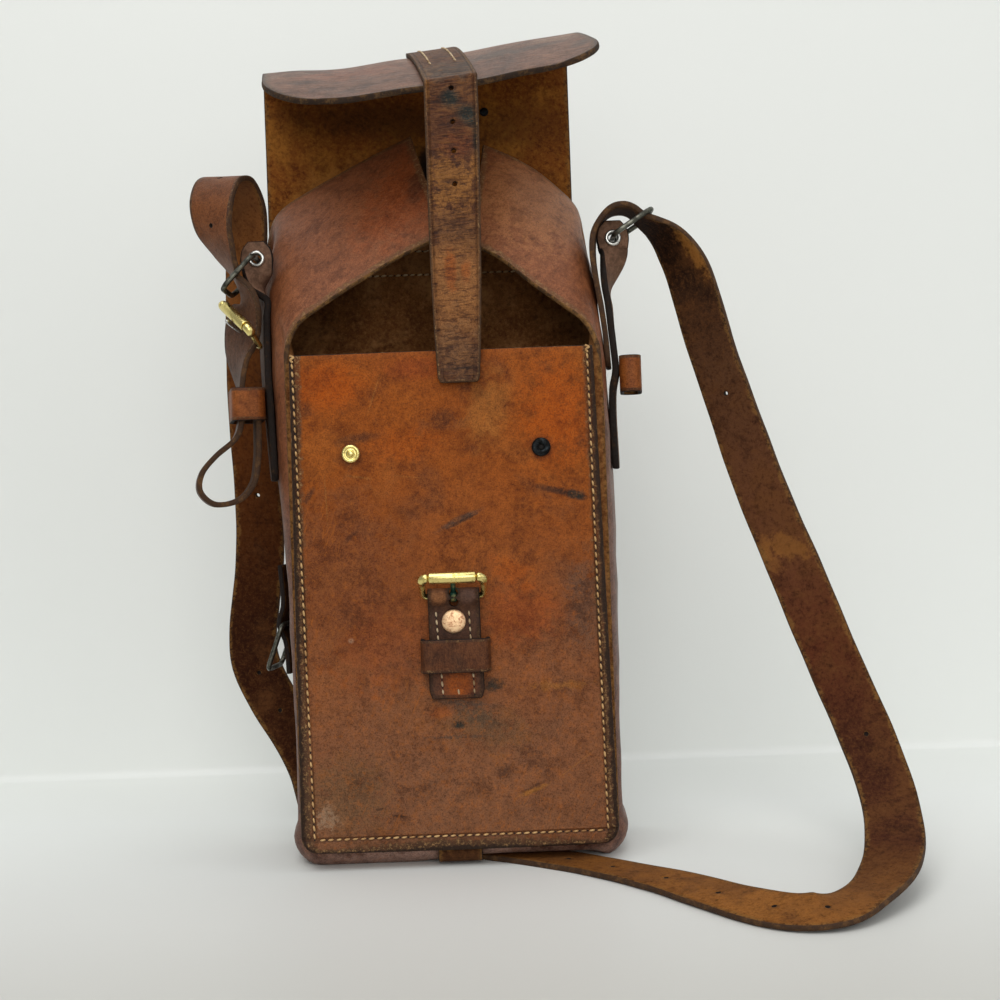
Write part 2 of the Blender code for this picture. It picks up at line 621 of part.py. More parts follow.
def gusset_grid():
    """Middle surface of the gusset, one long strip from wing end to wing end."""
    left = smooth_rows(GUSSET_LEFT, GUSSET_STEPS)
    right = smooth_rows(GUSSET_RIGHT, GUSSET_STEPS)[::-1]
    rows = np.vstack([left, bottom_sections(), right])
    front = rows[:, [0, 1]]
    back = rows[:, [2, 3]]
    half_profile = np.array(SEAM_PROFILE)
    count = 2 * len(half_profile) - 1
    middle = (front + back) / 2
    along = unit(np.gradient(middle, axis=0))
    outward = np.stack([along[:, 1], -along[:, 0]], axis=1)
    grid = np.zeros((len(rows), count, 3))
    for c in range(count):
        near_front = c < len(half_profile)
        row = half_profile[c if near_front else count - 1 - c]
        seam = rows[:, 6] if near_front else rows[:, 7]
        share = c / (count - 1)
        free_y = rows[:, 4] + (rows[:, 5] - rows[:, 4]) * share
        sewn_y = rows[:, 4] + row[1] if near_front else rows[:, 5] - row[1]
        y = free_y + (sewn_y - free_y) * seam
        along_depth = (y - rows[:, 4]) / (rows[:, 5] - rows[:, 4])
        free_out = rows[:, 8] * np.sin(math.pi * share) ** 0.8
        sewn_out = row[0] + rows[:, 8] * row[2]
        out = free_out + (sewn_out - free_out) * seam
        base = front + (back - front) * along_depth[:, None]
        spot = base + outward * out[:, None]
        grid[:, c, 0] = spot[:, 0]
        grid[:, c, 1] = y
        grid[:, c, 2] = spot[:, 1]
    return grid


def settle_on_floor(grid):
    """Press the bottom flat on the floor and over the strap; mark the flat points."""
    low = GUSSET_THICK / 2 + strap_channel(grid[..., 0], grid[..., 1])
    middle = grid[..., 2] < 30
    pressed = middle & (grid[..., 2] < low)
    grid[..., 2] = np.where(pressed, low, grid[..., 2])
    return pressed


def gusset():
    """Sides, bottom and the two free wings that curl over the mouth."""
    mid = gusset_grid()
    pressed = settle_on_floor(mid)
    normals = surface_normals(mid)
    down = np.where(normals[..., 2:] > 0, 1.0, -1.0)
    normals = np.where(pressed[..., None], np.array([0.0, 0.0, 1.0]) * down, normals)
    offset = normals * GUSSET_THICK / 2
    strip = wall_between("gusset", mid + offset, mid - offset, BROWN_LEATHER)
    return BVHTree.FromPolygons([v.co for v in strip.data.vertices],
                                [p.vertices for p in strip.data.polygons])


def side_frame(skin, side, depth, height):
    """Seat on the gusset's side: a point, the direction along the depth and the way out."""
    points = []
    for step in np.linspace(-TAB_HALF, TAB_HALF, 9):
        start = Vector((side * 200.0, depth + step, height)) * MM
        points.append(np.array(skin.ray_cast(start, Vector((-side, 0, 0)))[0]) / MM)
    along = unit((points[-1] - points[0]) * np.array([1.0, 1.0, 0.0]))
    out = side * np.array([along[1], -along[0], 0.0])
    middle = (points[0] + points[-1]) / 2
    crown = max(float(np.dot(point - middle, out)) for point in points)
    return middle + out * crown, along, out


def lid_bend_height(x):
    """Height of the lid's bend, which rises to the right and sags in its middle."""
    across = np.clip((np.asarray(x) - lid_centre_x(LID_Y)) / LID_HALF, -1, 1)
    rise = LID_BEND_SLOPE * LID_HALF * (across + 1)
    return LID_BEND_LEFT + rise - LID_SAG * (1 - across ** 2)


def lid_centre_x(y):
    """Middle of the lid, skewed to the left towards the back."""
    return LID_CENTRE - LID_SKEW * (y - LID_NEAR_Y) / (LID_Y - LID_NEAR_Y)


def lid_half(y):
    """Half width of the lid, which flares towards its near edge."""
    return LID_HALF + LID_FLARE * (LID_Y - y) / (LID_Y - LID_NEAR_Y)


def flap_point(x, share):
    """Middle surface of the front flap, share 0 at the bend and 1 at the near edge."""
    start = LID_Y - LID_BEND_RADIUS
    y = start + (LID_NEAR_Y - start) * share
    right = LID_CURL * np.clip((np.asarray(x) - 52) / 32, 0, 1.2) ** 2
    left = LID_CURL_LEFT * np.clip((-45 - np.asarray(x)) / 35, 0, 1.2) ** 2
    curl = (left + right) * share
    z = lid_bend_height(x) - LID_DROOP * np.power(share, LID_DROOP_POWER) + curl
    return np.stack([x, np.broadcast_to(y, np.shape(x)), z], axis=-1)


def lid():
    """The lid: sewn behind the back, up, over the bend and drooping to the front."""
    places = np.linspace(-1, 1, 11)
    rows = []
    for share in np.linspace(0, 1, 6):
        x = lid_centre_x(LID_Y) + LID_HALF * places
        z = LID_FOOT + (lid_bend_height(x) - LID_BEND_RADIUS - LID_FOOT) * share
        rows.append(np.stack([x, np.full_like(x, LID_Y), z], axis=-1))
    for degrees in (25, 50, 75):
        angle = math.radians(degrees)
        y = LID_Y - LID_BEND_RADIUS * (1 - math.cos(angle))
        x = lid_centre_x(y) + lid_half(y) * places
        z = lid_bend_height(x) - LID_BEND_RADIUS * (1 - math.sin(angle))
        rows.append(np.stack([x, np.full_like(x, y), z], axis=-1))
    start = LID_Y - LID_BEND_RADIUS
    length = start - LID_NEAR_Y
    distances = [length * s for s in (1.0, 0.82, 0.64, 0.48)]
    distances += [LID_CORNER * (1 - math.sin(math.radians(a))) for a in (0, 20, 40, 60, 76, 90)]
    for distance in distances:
        share = 1 - distance / length
        pull = float(corner_pull(distance, LID_CORNER))
        y = start + (LID_NEAR_Y - start) * share
        x = lid_centre_x(y) + (lid_half(y) - pull) * places
        rows.append(flap_point(x, share))
    sheet("lid", np.array(rows), LID_THICK, BROWN_LEATHER)


def closing_strap():
    """The strap sewn on the lid, over the near edge and down in front of the mouth."""
    stand = LID_THICK / 2 + GAP + STRAP_THICK / 2
    across = CLOSING_HALF * np.array([-1.0, 0.0, 1.0])
    rows = []
    for share in (0.06, 0.25, 0.5, 0.75, 0.9, 1.0):
        y = float(flap_point(0.0, share)[1])
        x = lid_centre_x(y) + CLOSING_SHIFT + across
        here = flap_point(x, share)
        ahead = flap_point(x, share + 0.02)
        slope = unit(ahead - here)
        up = np.stack([np.zeros(3), slope[:, 2], -slope[:, 1]], axis=-1)
        rows.append(here + unit(up) * stand)
    edge = flap_point(lid_centre_x(LID_NEAR_Y) + CLOSING_SHIFT + across, 1.0)
    lead = rows[-1][1] - edge[1]
    slope_angle = math.degrees(math.atan2(lead[2], -lead[1]))
    for share in (0.35, 0.7, 1.0):
        angle = math.radians(slope_angle * (1 - share))
        direction = np.array([0.0, -math.cos(angle), math.sin(angle)])
        rows.append(edge + direction * (stand + CLOSING_BEND_ROOM))
    front = rows[-1][1]
    top, foot = CLOSING_HANG[0][0], CLOSING_HANG[-1][0]
    for height, half, back in CLOSING_HANG:
        lean = (height - foot) / (top - foot)
        x = CLOSING_FOOT_X + (front[0] - CLOSING_FOOT_X) * lean
        rows.append(np.array([[x + s * half, front[1] - back, height] for s in (-1, 0, 1)]))
    strap = sheet("closing_strap", np.array(rows), STRAP_THICK, BROWN_LEATHER)
    for number, height in enumerate(CLOSING_HOLES):
        spot = (CLOSING_HOLE_X, front[1], height)
        hole = cutter_round(f"strap_hole_{number}", spot, (0, 1, 0), CLOSING_HOLE_RADIUS, 12, 8)
        combine(strap, hole, "DIFFERENCE")


def chape_route():
    """Side view of the folded leather that holds the buckle: up behind the bar and down."""
    skin = float(panel_face_y(BUCKLE_X, HEEL_Z))
    inner = skin - GAP - CHAPE_THICK / 2
    outer = inner - GAP - CHAPE_THICK
    fold = WIRE_RADIUS + GAP + CHAPE_THICK / 2
    points = [(inner, 117.0), (inner, 124.0), (inner - 0.1, 131.0)]
    for degrees in (-10, 20, 55, 90, 125, 160, 190):
        angle = math.radians(degrees)
        points.append((HEEL_Y + fold * math.cos(angle), HEEL_Z + fold * math.sin(angle)))
    points += [(outer - 0.05, 131.5), (outer, 124.0), (outer, 113.0), (inner - 0.9, 107.5),
               (inner, 103.0), (inner, 94.0), (inner, CHAPE_FOOT + 4), (inner, CHAPE_FOOT)]
    return points


def front_chape():
    """Chape of the front buckle, with the slot in which the prong turns."""
    rows = []
    points = chape_route()
    for index, (y, z) in enumerate(points):
        half = CHAPE_WIDTH / 2 + (0.8 if z < 110 and index > 8 else 0.0)
        if index == len(points) - 1:
            half -= 2.5
        rows.append([(BUCKLE_X + half * s, y, z) for s in (-1, -0.25, 0.25, 1)])
    chape = sheet("front_chape", np.array(rows), CHAPE_THICK, DARK_LEATHER)
    half_slot = SLOT_WIDTH / 2
    slot = cutter_box("chape_slot", (BUCKLE_X - half_slot, HEEL_Y - 8, 131.5),
                      (BUCKLE_X + half_slot, HEEL_Y + 8, HEEL_Z + 8))
    combine(chape, slot, "DIFFERENCE")
    hole = cutter_round("chape_hole", (RIVET_X, -47.0, RIVET_Z), (0, 1, 0), 1.9, 12, 10)
    combine(chape, hole, "DIFFERENCE")


def front_keeper():
    """Keeper band over the chape; its ends are sewn down beside it."""
    low, high = FRONT_KEEPER_EDGES
    middle = (low + high) / 2
    half = FRONT_KEEPER_HALF
    base = float(panel_face_y(BUCKLE_X, middle)) - GAP
    rise = base - FRONT_KEEPER_STAND + KEEPER_THICK / 2 - GAP
    # columns: distance from the middle, depth
    path = [(-half, base), (-half + 0.3, base - 5.5), (-half + 2.2, rise), (-half / 2, rise - 0.5),
            (0.0, rise - 0.6), (half / 2, rise - 0.5), (half - 2.2, rise), (half - 0.3, base - 5.5),
            (half, base)]
    grid = [[(BUCKLE_X + x, y, z) for z in (low, middle, high)] for x, y in path]
    sheet("front_keeper", np.array(grid), KEEPER_THICK, DARK_LEATHER)


def buckle_frame(name, heel, side_axis, reach_axis, look):
    """A buckle frame: heel bar, two arms and the bar that carries the roller."""
    path = rounded_frame(heel, side_axis, reach_axis, BUCKLE_WIDTH, BUCKLE_LENGTH, 2.6)
    normal = np.cross(side_axis, reach_axis)
    wire_loop(name, path, normal, WIRE_RADIUS, look, heel, sides=8)


def buckle_roller(name, heel, side_axis, reach_axis, look):
    """The sleeve that rolls on the outer bar."""
    centre = np.asarray(heel, float) + np.asarray(reach_axis) * BUCKLE_LENGTH
    half = ROLLER_LENGTH / 2
    profile = [(ROLLER_BORE, -half), (ROLLER_RADIUS, -half), (ROLLER_RADIUS, half),
               (ROLLER_BORE, half)]
    turned(name, profile, centre, side_axis, look, segments=14)


def buckle_prong(name, heel, side_axis, direction, length, look):
    """The prong: an eye on the heel bar and a tapered finger."""
    heel, side_axis, direction = (np.asarray(v, float) for v in (heel, side_axis, direction))
    up = np.cross(side_axis, direction)
    half = PRONG_WIDTH / 2
    outline = [(2.4, -1.3), (9.0, -1.2), (length - 1, -0.8), (length, 0.0),
               (length - 1, 0.9), (9.0, 1.2), (2.4, 1.3)]
    points = []
    for side in (-1, 1):
        for reach, rise in outline:
            wide = half * (1 - 0.35 * reach / length)
            points.append(heel + side_axis * side * wide + direction * reach + up * rise)
    count = len(outline)
    faces = [list(range(count)), list(range(2 * count - 1, count - 1, -1))]
    for k in range(count):
        follow = (k + 1) % count
        faces.append([k, count + k, count + follow, follow])
    prong = add_piece(name, points, faces, look, heel)
    eye = cutter_round(name + "_eye", heel, side_axis, PRONG_EYE, PRONG_WIDTH, 16)
    bore = cutter_round(name + "_bore", heel, side_axis, 1.85, PRONG_WIDTH * 3, 16)
    combine(prong, eye, "UNION")
    combine(prong, bore, "DIFFERENCE")


def front_buckle():
    """The open roller buckle, tipped forward from the panel."""
    heel = np.array([BUCKLE_X, HEEL_Y, HEEL_Z])
    side_axis = np.array([1.0, 0.0, 0.0])
    rise = math.radians(BUCKLE_RISE)
    reach_axis = np.array([0.0, -math.cos(rise), math.sin(rise)])
    buckle_frame("front_buckle_frame", heel, side_axis, reach_axis, BRASS)
    buckle_roller("front_buckle_roller", heel, side_axis, reach_axis, BRASS)
    lift = math.radians(PRONG_RISE)
    direction = np.array([0.0, -math.cos(lift), math.sin(lift)])
    buckle_prong("front_buckle_prong", heel, side_axis, direction, PRONG_LENGTH, BRASS)


def panel_fittings():
    """Rivet of the chape, brass snap post and dark eyelet on the front panel."""
    across = (0, 1, 0)
    face = float(panel_face_y(RIVET_X, RIVET_Z)) - 2 * (GAP + CHAPE_THICK)
    turned("chape_rivet", RIVET_PROFILE, (RIVET_X, face, RIVET_Z), across, COPPER, 18)
    post = (POST_X, float(panel_face_y(POST_X, SNAP_Z)), SNAP_Z)
    turned("snap_post", POST_PROFILE, post, across, BRASS, 16)
    eyelet = (EYELET_X, float(panel_face_y(EYELET_X, SNAP_Z)), SNAP_Z)
    turned("snap_eyelet", EYELET_PROFILE, eyelet, across, DARK_STEEL, 16)
    stud = (LID_RIVET_X, BACK_Y + GAP, LID_RIVET_Z)
    turned("lid_rivet", LID_RIVET_PROFILE, stud, across, DARK_STEEL, 10)


def bottom_keeper():
    """Short leather loop below the front bottom edge."""
    grid = [[(x, y, z) for x in BOTTOM_KEEPER_X] for y, z in BOTTOM_KEEPER_PATH]
    sheet("bottom_keeper", np.array(grid), BOTTOM_KEEPER_THICK, DARK_LEATHER)


def side_tab(side, skin):
    """Tab on the side, whose upper lug turns to the front and holds the ring."""
    name = "left" if side < 0 else "right"
    spare = 0.0 if side < 0 else STRAP_THICK + GAP
    lug = LUG_LEFT if side < 0 else LUG_RIGHT
    route, widths = [], []
    for height, width, share, lift in TAB_ROWS:
        seat, along, out = side_frame(skin, side, TAB_DEPTH, height)
        spot = seat + out * (GAP + TAB_THICK / 2 + spare * share + lift)
        route.append((*spot, *along))
        widths.append(width)
    lean = math.atan2(along[0], along[1])
    for rise, width, turn in LUG_ROWS:
        angle = lean + turn * (math.pi / 2 - lean)
        route.append((lug[0], lug[1], lug[2] + rise, math.sin(angle), math.cos(angle), 0.0))
        widths.append(width)
    route = smooth_rows(np.column_stack([np.array(route), widths]), 2)
    grid = ribbon_grid(route[:, :6], route[:, 6], 4)
    tab = sheet(f"side_tab_{name}", grid, TAB_THICK, BROWN_LEATHER)
    hole = cutter_round(f"lug_hole_{name}", lug, (0, 1, 0), LUG_HOLE_RADIUS, 20, 12)
    combine(tab, hole, "DIFFERENCE")
    flat = TAB_THICK / 2 + GAP
    profile = [(EYELET_BORE, -flat - 0.7), (EYELET_OUTER, -flat - 0.5), (EYELET_OUTER, -flat),
               (EYELET_BORE + EYELET_NECK, -flat), (EYELET_BORE + EYELET_NECK, flat),
               (EYELET_OUTER, flat),
               (EYELET_OUTER, flat + 0.5), (EYELET_BORE, flat + 0.7)]
    turned(f"tab_eyelet_{name}", profile, lug, (0, 1, 0), DARK_STEEL, 12)


def side_ring(side):
    """Ring through the lug, whose far bar holds the shoulder strap."""
    name = "left" if side < 0 else "right"
    lug = LUG_LEFT if side < 0 else LUG_RIGHT
    reach_axis = unit(np.array(LEFT_RING_WAY if side < 0 else RIGHT_RING_WAY))
    path = rounded_frame(lug, (0, 1, 0), reach_axis, RING_SPAN, RING_REACH, RING_CORNER, 4)
    wire_loop(f"strap_ring_{name}", path, np.cross((0, 1, 0), reach_axis), RING_WIRE,
              DARK_STEEL, lug)


def side_keepers(skin):
    """Keeper bands on the two side tabs; the left one holds the strap's tail."""
    stand = GAP + TAB_THICK + 2 * GAP + KEEPER_THICK / 2
    for name, side, bottom, top, room, half, corner in KEEPERS:
        spare = 0.0 if side < 0 else STRAP_THICK + GAP
        seat, along, out = side_frame(skin, side, TAB_DEPTH, top)
        near = seat + out * (stand + spare)
        near[2] = 0.0
        path = rounded_frame(near, along, out, 2 * half, room, corner)
        grid = np.array([[point + np.array([0.0, 0.0, height])
                          for height in (bottom, (bottom + top) / 2, top)] for point in path])
        sheet(name, grid, KEEPER_THICK, BROWN_LEATHER, closed=True)


def strap_widths(route):
    """Full width, rounded off at the two ends."""
    step = np.linalg.norm(np.diff(route[:, :3], axis=0), axis=1)
    run = np.concatenate([[0.0], np.cumsum(step)])
    widths = np.full(len(route), STRAP_WIDTH)
    for distance in (run, run[-1] - run):
        widths = np.where(distance < 3, STRAP_WIDTH * 0.7, widths)
    return widths


def strap_buckle_axes():
    """Heel of the strap's buckle, its axes along and across, and its prong's way."""
    side_axis = unit(np.array(STRAP_BUCKLE_SIDE))
    reach_axis = np.array(STRAP_BUCKLE_REACH)
    reach_axis = unit(reach_axis - side_axis * np.dot(side_axis, reach_axis))
    heel = np.array(STRAP_BUCKLE_CENTRE) - reach_axis * BUCKLE_LENGTH / 2
    lift = math.radians(STRAP_PRONG_RISE)
    prong = reach_axis * math.cos(lift) + np.cross(side_axis, reach_axis) * math.sin(lift)
    return heel, side_axis, reach_axis, prong


def shoulder_strap():
    """The long strap: right ring, out to the floor, under the bag, up and the left ring."""
    route = smooth_rows(SHOULDER_ROUTE, SHOULDER_STEPS)
    mid = ribbon_grid(route, strap_widths(route), 3)
    offset = surface_normals(mid) * STRAP_THICK / 2
    outer, inner = mid + offset, mid - offset
    for wall in (outer, inner):
        wall[..., 2] = np.maximum(wall[..., 2], 0.0)
    strap = wall_between("shoulder_strap", outer, inner, BROWN_LEATHER)
    heel, side_axis, _, prong = strap_buckle_axes()
    middle = heel + prong * BUCKLE_LENGTH / 2
    hole = cutter_round("prong_hole", middle, prong, PRONG_HOLE_RADIUS, 11.0, 10)
    combine(strap, hole, "DIFFERENCE")
    room = cutter_round("prong_room", heel, side_axis, PRONG_EYE + GAP, PRONG_WIDTH + 2 * GAP, 14)
    combine(strap, room, "DIFFERENCE")


def strap_buckle():
    """The fastened brass buckle round the strap's left end, askew as it hangs."""
    heel, side_axis, reach_axis, prong = strap_buckle_axes()
    buckle_frame("strap_buckle_frame", heel, side_axis, reach_axis, BRASS)
    buckle_roller("strap_buckle_roller", heel, side_axis, reach_axis, BRASS)
    buckle_prong("strap_buckle_prong", heel, side_axis, prong, STRAP_PRONG_LENGTH, STEEL)


def drop_ring(skin):
    """Low on the left side: a sewn leather strip and the metal ring that hangs from it."""
    seat, along, out = side_frame(skin, -1, DROP_DEPTH, DROP_BAR_HEIGHT)
    bar = seat + out * (RING_WIRE + 2 * GAP)
    crest = RING_WIRE + 2 * GAP + RING_WIRE + GAP + CHAPE_THICK / 2
    rows = []
    for height in DROP_HEIGHTS:
        here, _, _ = side_frame(skin, -1, DROP_DEPTH, height)
        rise = math.exp(-((height - DROP_BAR_HEIGHT) / DROP_HUMP) ** 2)
        base = GAP + CHAPE_THICK / 2
        spot = here + out * (base + (crest - base) * rise)
        half = DROP_WIDTH / 2
        rows.append([spot + along * half * s for s in (-1, 0, 1)])
    sheet("drop_ring_loop", np.array(rows), CHAPE_THICK, DARK_LEATHER)
    hang = unit(np.array(DROP_HANG))
    wire = rounded_frame(bar, along, hang, DROP_SPAN, DROP_REACH, DROP_CORNER)
    wire_loop("drop_ring", wire, np.cross(along, hang), RING_WIRE, DARK_STEEL, bar)


def main():
    clear_scene()
    front_panel()
    back_panel()
    skin = gusset()
    lid()
    closing_strap()
    front_chape()
    front_keeper()
    front_buckle()
    panel_fittings()
    bottom_keeper()
    for side in (-1, 1):
        side_tab(side, skin)
        side_ring(side)
    side_keepers(skin)
    shoulder_strap()
    strap_buckle()
    drop_ring(skin)


main()
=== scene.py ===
"""Looks of a leather field bag: worn hides, waxed edges, hand stitches, brass and steel.

Frame: X to the right, Y towards the back, Z up, the origin on the floor below the body.
Shapes are worked out in millimetres as whole arrays, and put into meshes in metres.
"""
from __future__ import annotations

import logging
import math
from dataclasses import dataclass, field
from enum import Enum
from typing import Sequence

import bmesh
import bpy
import numpy as np
from mathutils import Matrix, Vector
from mathutils.bvhtree import BVHTree


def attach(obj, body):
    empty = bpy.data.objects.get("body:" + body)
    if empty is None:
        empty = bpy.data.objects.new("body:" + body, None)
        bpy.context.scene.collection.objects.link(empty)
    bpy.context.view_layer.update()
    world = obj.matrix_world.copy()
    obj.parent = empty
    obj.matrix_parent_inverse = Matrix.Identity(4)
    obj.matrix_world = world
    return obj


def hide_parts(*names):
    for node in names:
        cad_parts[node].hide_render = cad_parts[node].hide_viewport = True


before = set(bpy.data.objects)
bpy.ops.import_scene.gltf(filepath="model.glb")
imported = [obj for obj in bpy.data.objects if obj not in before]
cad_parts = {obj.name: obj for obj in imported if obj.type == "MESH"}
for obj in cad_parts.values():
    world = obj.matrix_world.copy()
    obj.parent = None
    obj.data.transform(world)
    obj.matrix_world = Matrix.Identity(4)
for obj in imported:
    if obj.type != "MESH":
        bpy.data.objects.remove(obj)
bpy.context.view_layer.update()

log = logging.getLogger("field_bag")
MM = 0.001

# Short names of types: a value is a socket, a number or a vector, a shape is points and faces
Array = np.ndarray
Material = bpy.types.Material
Thing = bpy.types.Object
Socket = bpy.types.NodeSocket
Colour = tuple[float, float, float]
Value = Socket | float | Sequence[float]
Shape = tuple[Array, list]

# Sizes that the looks share with the solids, in millimetres
GAP = 0.35
PANEL_THICK = 3.0
GUSSET_THICK = 2.5
LID_THICK = 3.2
STRAP_THICK = 2.8
STRAP_WIDTH = 26.6
TAB_THICK = 3.6
KEEPER_THICK = 2.0
CHAPE_THICK = 2.4
FRONT_Y = -42.0
BACK_Y = 42.0
PANEL_BOTTOM = 10.0
PANEL_TOP = 260.0
PANEL_HALF_TOP = 76.5
PANEL_HALF_BOTTOM = 80.0
PANEL_CORNER = 8.0
PANEL_BULGE = 1.5
BACK_TOP = 338.0
GUSSET_Y = 37.4

# Depths and seam values of a gusset section that is sewn to both panels
SEWN = (-GUSSET_Y, GUSSET_Y, 1.0, 1.0)

# Gusset sections, from the end of each wing down to the foot of the side.
# columns: front_x, front_z, back_x, back_z, front_y, back_y, seam_front, seam_back, bulge
GUSSET_LEFT = [
    (3, 322, -16, 386, -22, 34.5, 0, 0, 2),
    (-20, 310.5, -34, 377.5, -29, 34.5, 0, 0, 4),
    (-45, 295.5, -55, 367, -35, 34.5, 0, 0, 5),
    (-63, 284, -76, 356, -37, 34.5, 0, 0, 5),
    (-72.5, 277, -89, 347.5, -GUSSET_Y, 35, 0, 0, 4),
    (-78, 267, -95, 337, -GUSSET_Y, 36, 0.1, 0.5, 2.5),
    (-80, 254, -98.5, 320, -GUSSET_Y, GUSSET_Y, 0.8, 1, 2),
    (-80, 232, -99.5, 283, *SEWN, 2),
    (-80, 190, -95.5, 220, *SEWN, 2),
    (-80, 130, -89, 140, *SEWN, 1.8),
    (-80, 60, -86, 62, *SEWN, 1.5),
    (-80, 22, -84.5, 22, *SEWN, 2.5),
]
GUSSET_RIGHT = [
    (15, 317, 24, 380, -22, 34.5, 0, 0, 2),
    (30, 308, 37, 374, -30, 34.5, 0, 0, 4),
    (47, 293, 52, 365, -35, 34.5, 0, 0, 5),
    (63, 280.5, 66, 352.5, -37, 34.5, 0, 0, 5),
    (71.5, 273.5, 73.5, 343.5, -GUSSET_Y, 35, 0, 0, 2),
    (77, 264, 76.5, 332, -GUSSET_Y, 36, 0.1, 0.5, 1),
    (79.5, 252, 79.5, 316, -GUSSET_Y, GUSSET_Y, 0.8, 1, 1),
    (80, 230, 83.5, 280, *SEWN, 1.2),
    (80, 195, 87, 232, *SEWN, 1.2),
    (80, 130, 87.5, 140, *SEWN, 1.5),
    (80, 60, 84.5, 62, *SEWN, 1.5),
    (80, 22, 82, 22, *SEWN, 2.5),
]
# Section of the gusset at a seam.
# columns: outward, distance from the panel, share of the bulge
SEAM_PROFILE = [
    (0, 0, 0), (-4.5, 0, 0), (-6.8, 2.2, 0.2), (-4.6, 7, 0.75),
    (-0.4, 15, 0.85), (0, 26, 0.97), (0, GUSSET_Y, 1),
]

# Shoulder strap, from its right end to the tip of its tail on the left.
# columns: x, y, z of the middle line, then the direction across the width
SHOULDER_ROUTE = [
    (86.2, -1, 252, -0.09, -1, 0),
    (85.1, -1, 270, -0.09, -1, 0),
    (83.2, -1.5, 286, -0.1, -1, 0),
    (81.2, -2, 299, -0.1, -1, 0),
    (80, -2, 311, -0.1, -1, 0),
    (80.6, -2, 321, -0.08, -1, 0),
    (83.8, -2, 329, 0, -1, 0),
    (89.6, -2, 334.6, 0, -1, 0),
    (96, -2, 336, 0, -1, 0),
    (101.4, -2, 334.2, 0, -1, 0),
    (106, -2, 329.9, 0.03, -1, 0.03),
    (113, -2.4, 324.5, 0.18, -0.97, 0.1),
    (121.6, -4, 315.2, 0.48, -0.84, 0.24),
    (128.8, -5.5, 302, 0.66, -0.7, 0.28),
    (133.7, -6.5, 285, 0.74, -0.62, 0.27),
    (140.2, -6, 260, 0.74, -0.62, 0.27),
    (147.6, -5.5, 236, 0.76, -0.6, 0.28),
    (154.6, -6, 213, 0.8, -0.53, 0.3),
    (161.2, -8.5, 191, 0.85, -0.45, 0.3),
    (168.8, -12.5, 168, 0.87, -0.38, 0.3),
    (177.7, -17.5, 143, 0.9, -0.3, 0.3),
    (187, -24, 115, 0.94, -0.2, 0.26),
    (196, -32, 88, 0.96, -0.12, 0.2),
    (204.8, -46, 60, 0.98, -0.1, 0.1),
    (209, -68, 34.5, 0.98, -0.15, 0),
    (204, -98, 18, 0.94, -0.28, 0.05),
    (192, -127, 10.5, 0.84, -0.5, 0.12),
    (176, -148.5, 7, 0.6, -0.75, 0.06),
    (158, -163, 6.2, 0.1, -0.95, -0.22),
    (140, -157, 5, -0.45, -0.85, -0.22),
    (120.3, -129, 3.7, -0.72, -0.68, -0.13),
    (100.8, -95.5, 2.6, -0.78, -0.62, -0.06),
    (78, -66, 1.7, -0.74, -0.67, 0),
    (54, -42, 1.4, -0.66, -0.75, 0),
    (22, -18, 1.4, -0.56, -0.83, 0),
    (-12, 3, 1.4, -0.52, -0.85, 0),
    (-44, 22, 1.4, -0.52, -0.85, 0),
    (-62, 34, 1.7, -0.54, -0.84, 0),
    (-72, 43.5, 3.4, -0.6, -0.78, -0.04),
    (-80.5, 53.5, 14, -0.7, -0.62, -0.25),
    (-86.5, 61, 35.5, -0.83, -0.3, -0.42),
    (-97.6, 67, 56, -0.85, -0.15, -0.46),
    (-110, 70, 76, -0.87, -0.05, -0.46),
    (-118, 70, 95, -0.93, 0, -0.32),
    (-119, 69, 112, -0.98, 0.02, -0.12),
    (-116, 66, 132, -1, 0.04, 0.08),
    (-112.3, 62, 156, -1, 0.07, 0.1),
    (-110.8, 57, 184, -1, 0.1, 0.06),
    (-111.3, 51.5, 212, -0.96, 0.25, 0.03),
    (-112.2, 45.5, 240, -0.9, 0.4, 0),
    (-112, 38.5, 272, -0.85, 0.52, 0),
    (-110.2, 31.5, 304, -0.82, 0.57, 0),
    (-107.3, 25.5, 333, -0.86, 0.5, 0.05),
    (-107.3, 19, 350, -0.88, 0.47, 0.08),
    (-110.8, 7.5, 359.8, -0.88, 0.47, 0.1),
    (-115.5, -6.5, 357, -0.88, 0.47, 0.1),
    (-117.8, -16, 345, -0.88, 0.47, 0.06),
    (-117.4, -16.5, 330, -0.74, 0.67, 0.02),
    (-113.2, -10.5, 317, -0.42, 0.91, 0),
    (-107.7, -6, 304.9, -0.14, 0.99, 0),
    (-103, -8.5, 292, -0.5, 0.75, 0.35),
    (-105.6, -5.8, 280.5, -0.56, 0.5, 0.66),
    (-109, -2.8, 267, -0.5, 0.7, 0.4),
    (-108.4, -3.8, 248, -0.22, 0.975, 0),
    (-108.8, -3.7, 238, -0.22, 0.975, 0),
    (-109.4, -3.9, 229.5, -0.22, 0.975, 0),
    (-112.6, -4.6, 221, -0.22, 0.975, 0),
    (-122.6, -6.4, 212.5, -0.22, 0.975, 0),
    (-130, -8, 203.5, -0.22, 0.975, 0),
    (-131.2, -8.2, 194, -0.22, 0.975, 0),
    (-123.8, -6.7, 187.2, -0.22, 0.975, 0),
    (-111.5, -4.3, 189.2, -0.22, 0.975, 0),
    (-104, -2.6, 198, -0.22, 0.975, 0),
    (-101.5, -2, 211, -0.22, 0.975, 0),
    (-100.9, -1.9, 224, -0.22, 0.975, 0),
    (-100.7, -1.9, 236.5, -0.22, 0.975, 0),
]


class Side(Enum):
    """The two sides of the bag, by the sign of their X."""

    LEFT = -1
    RIGHT = 1


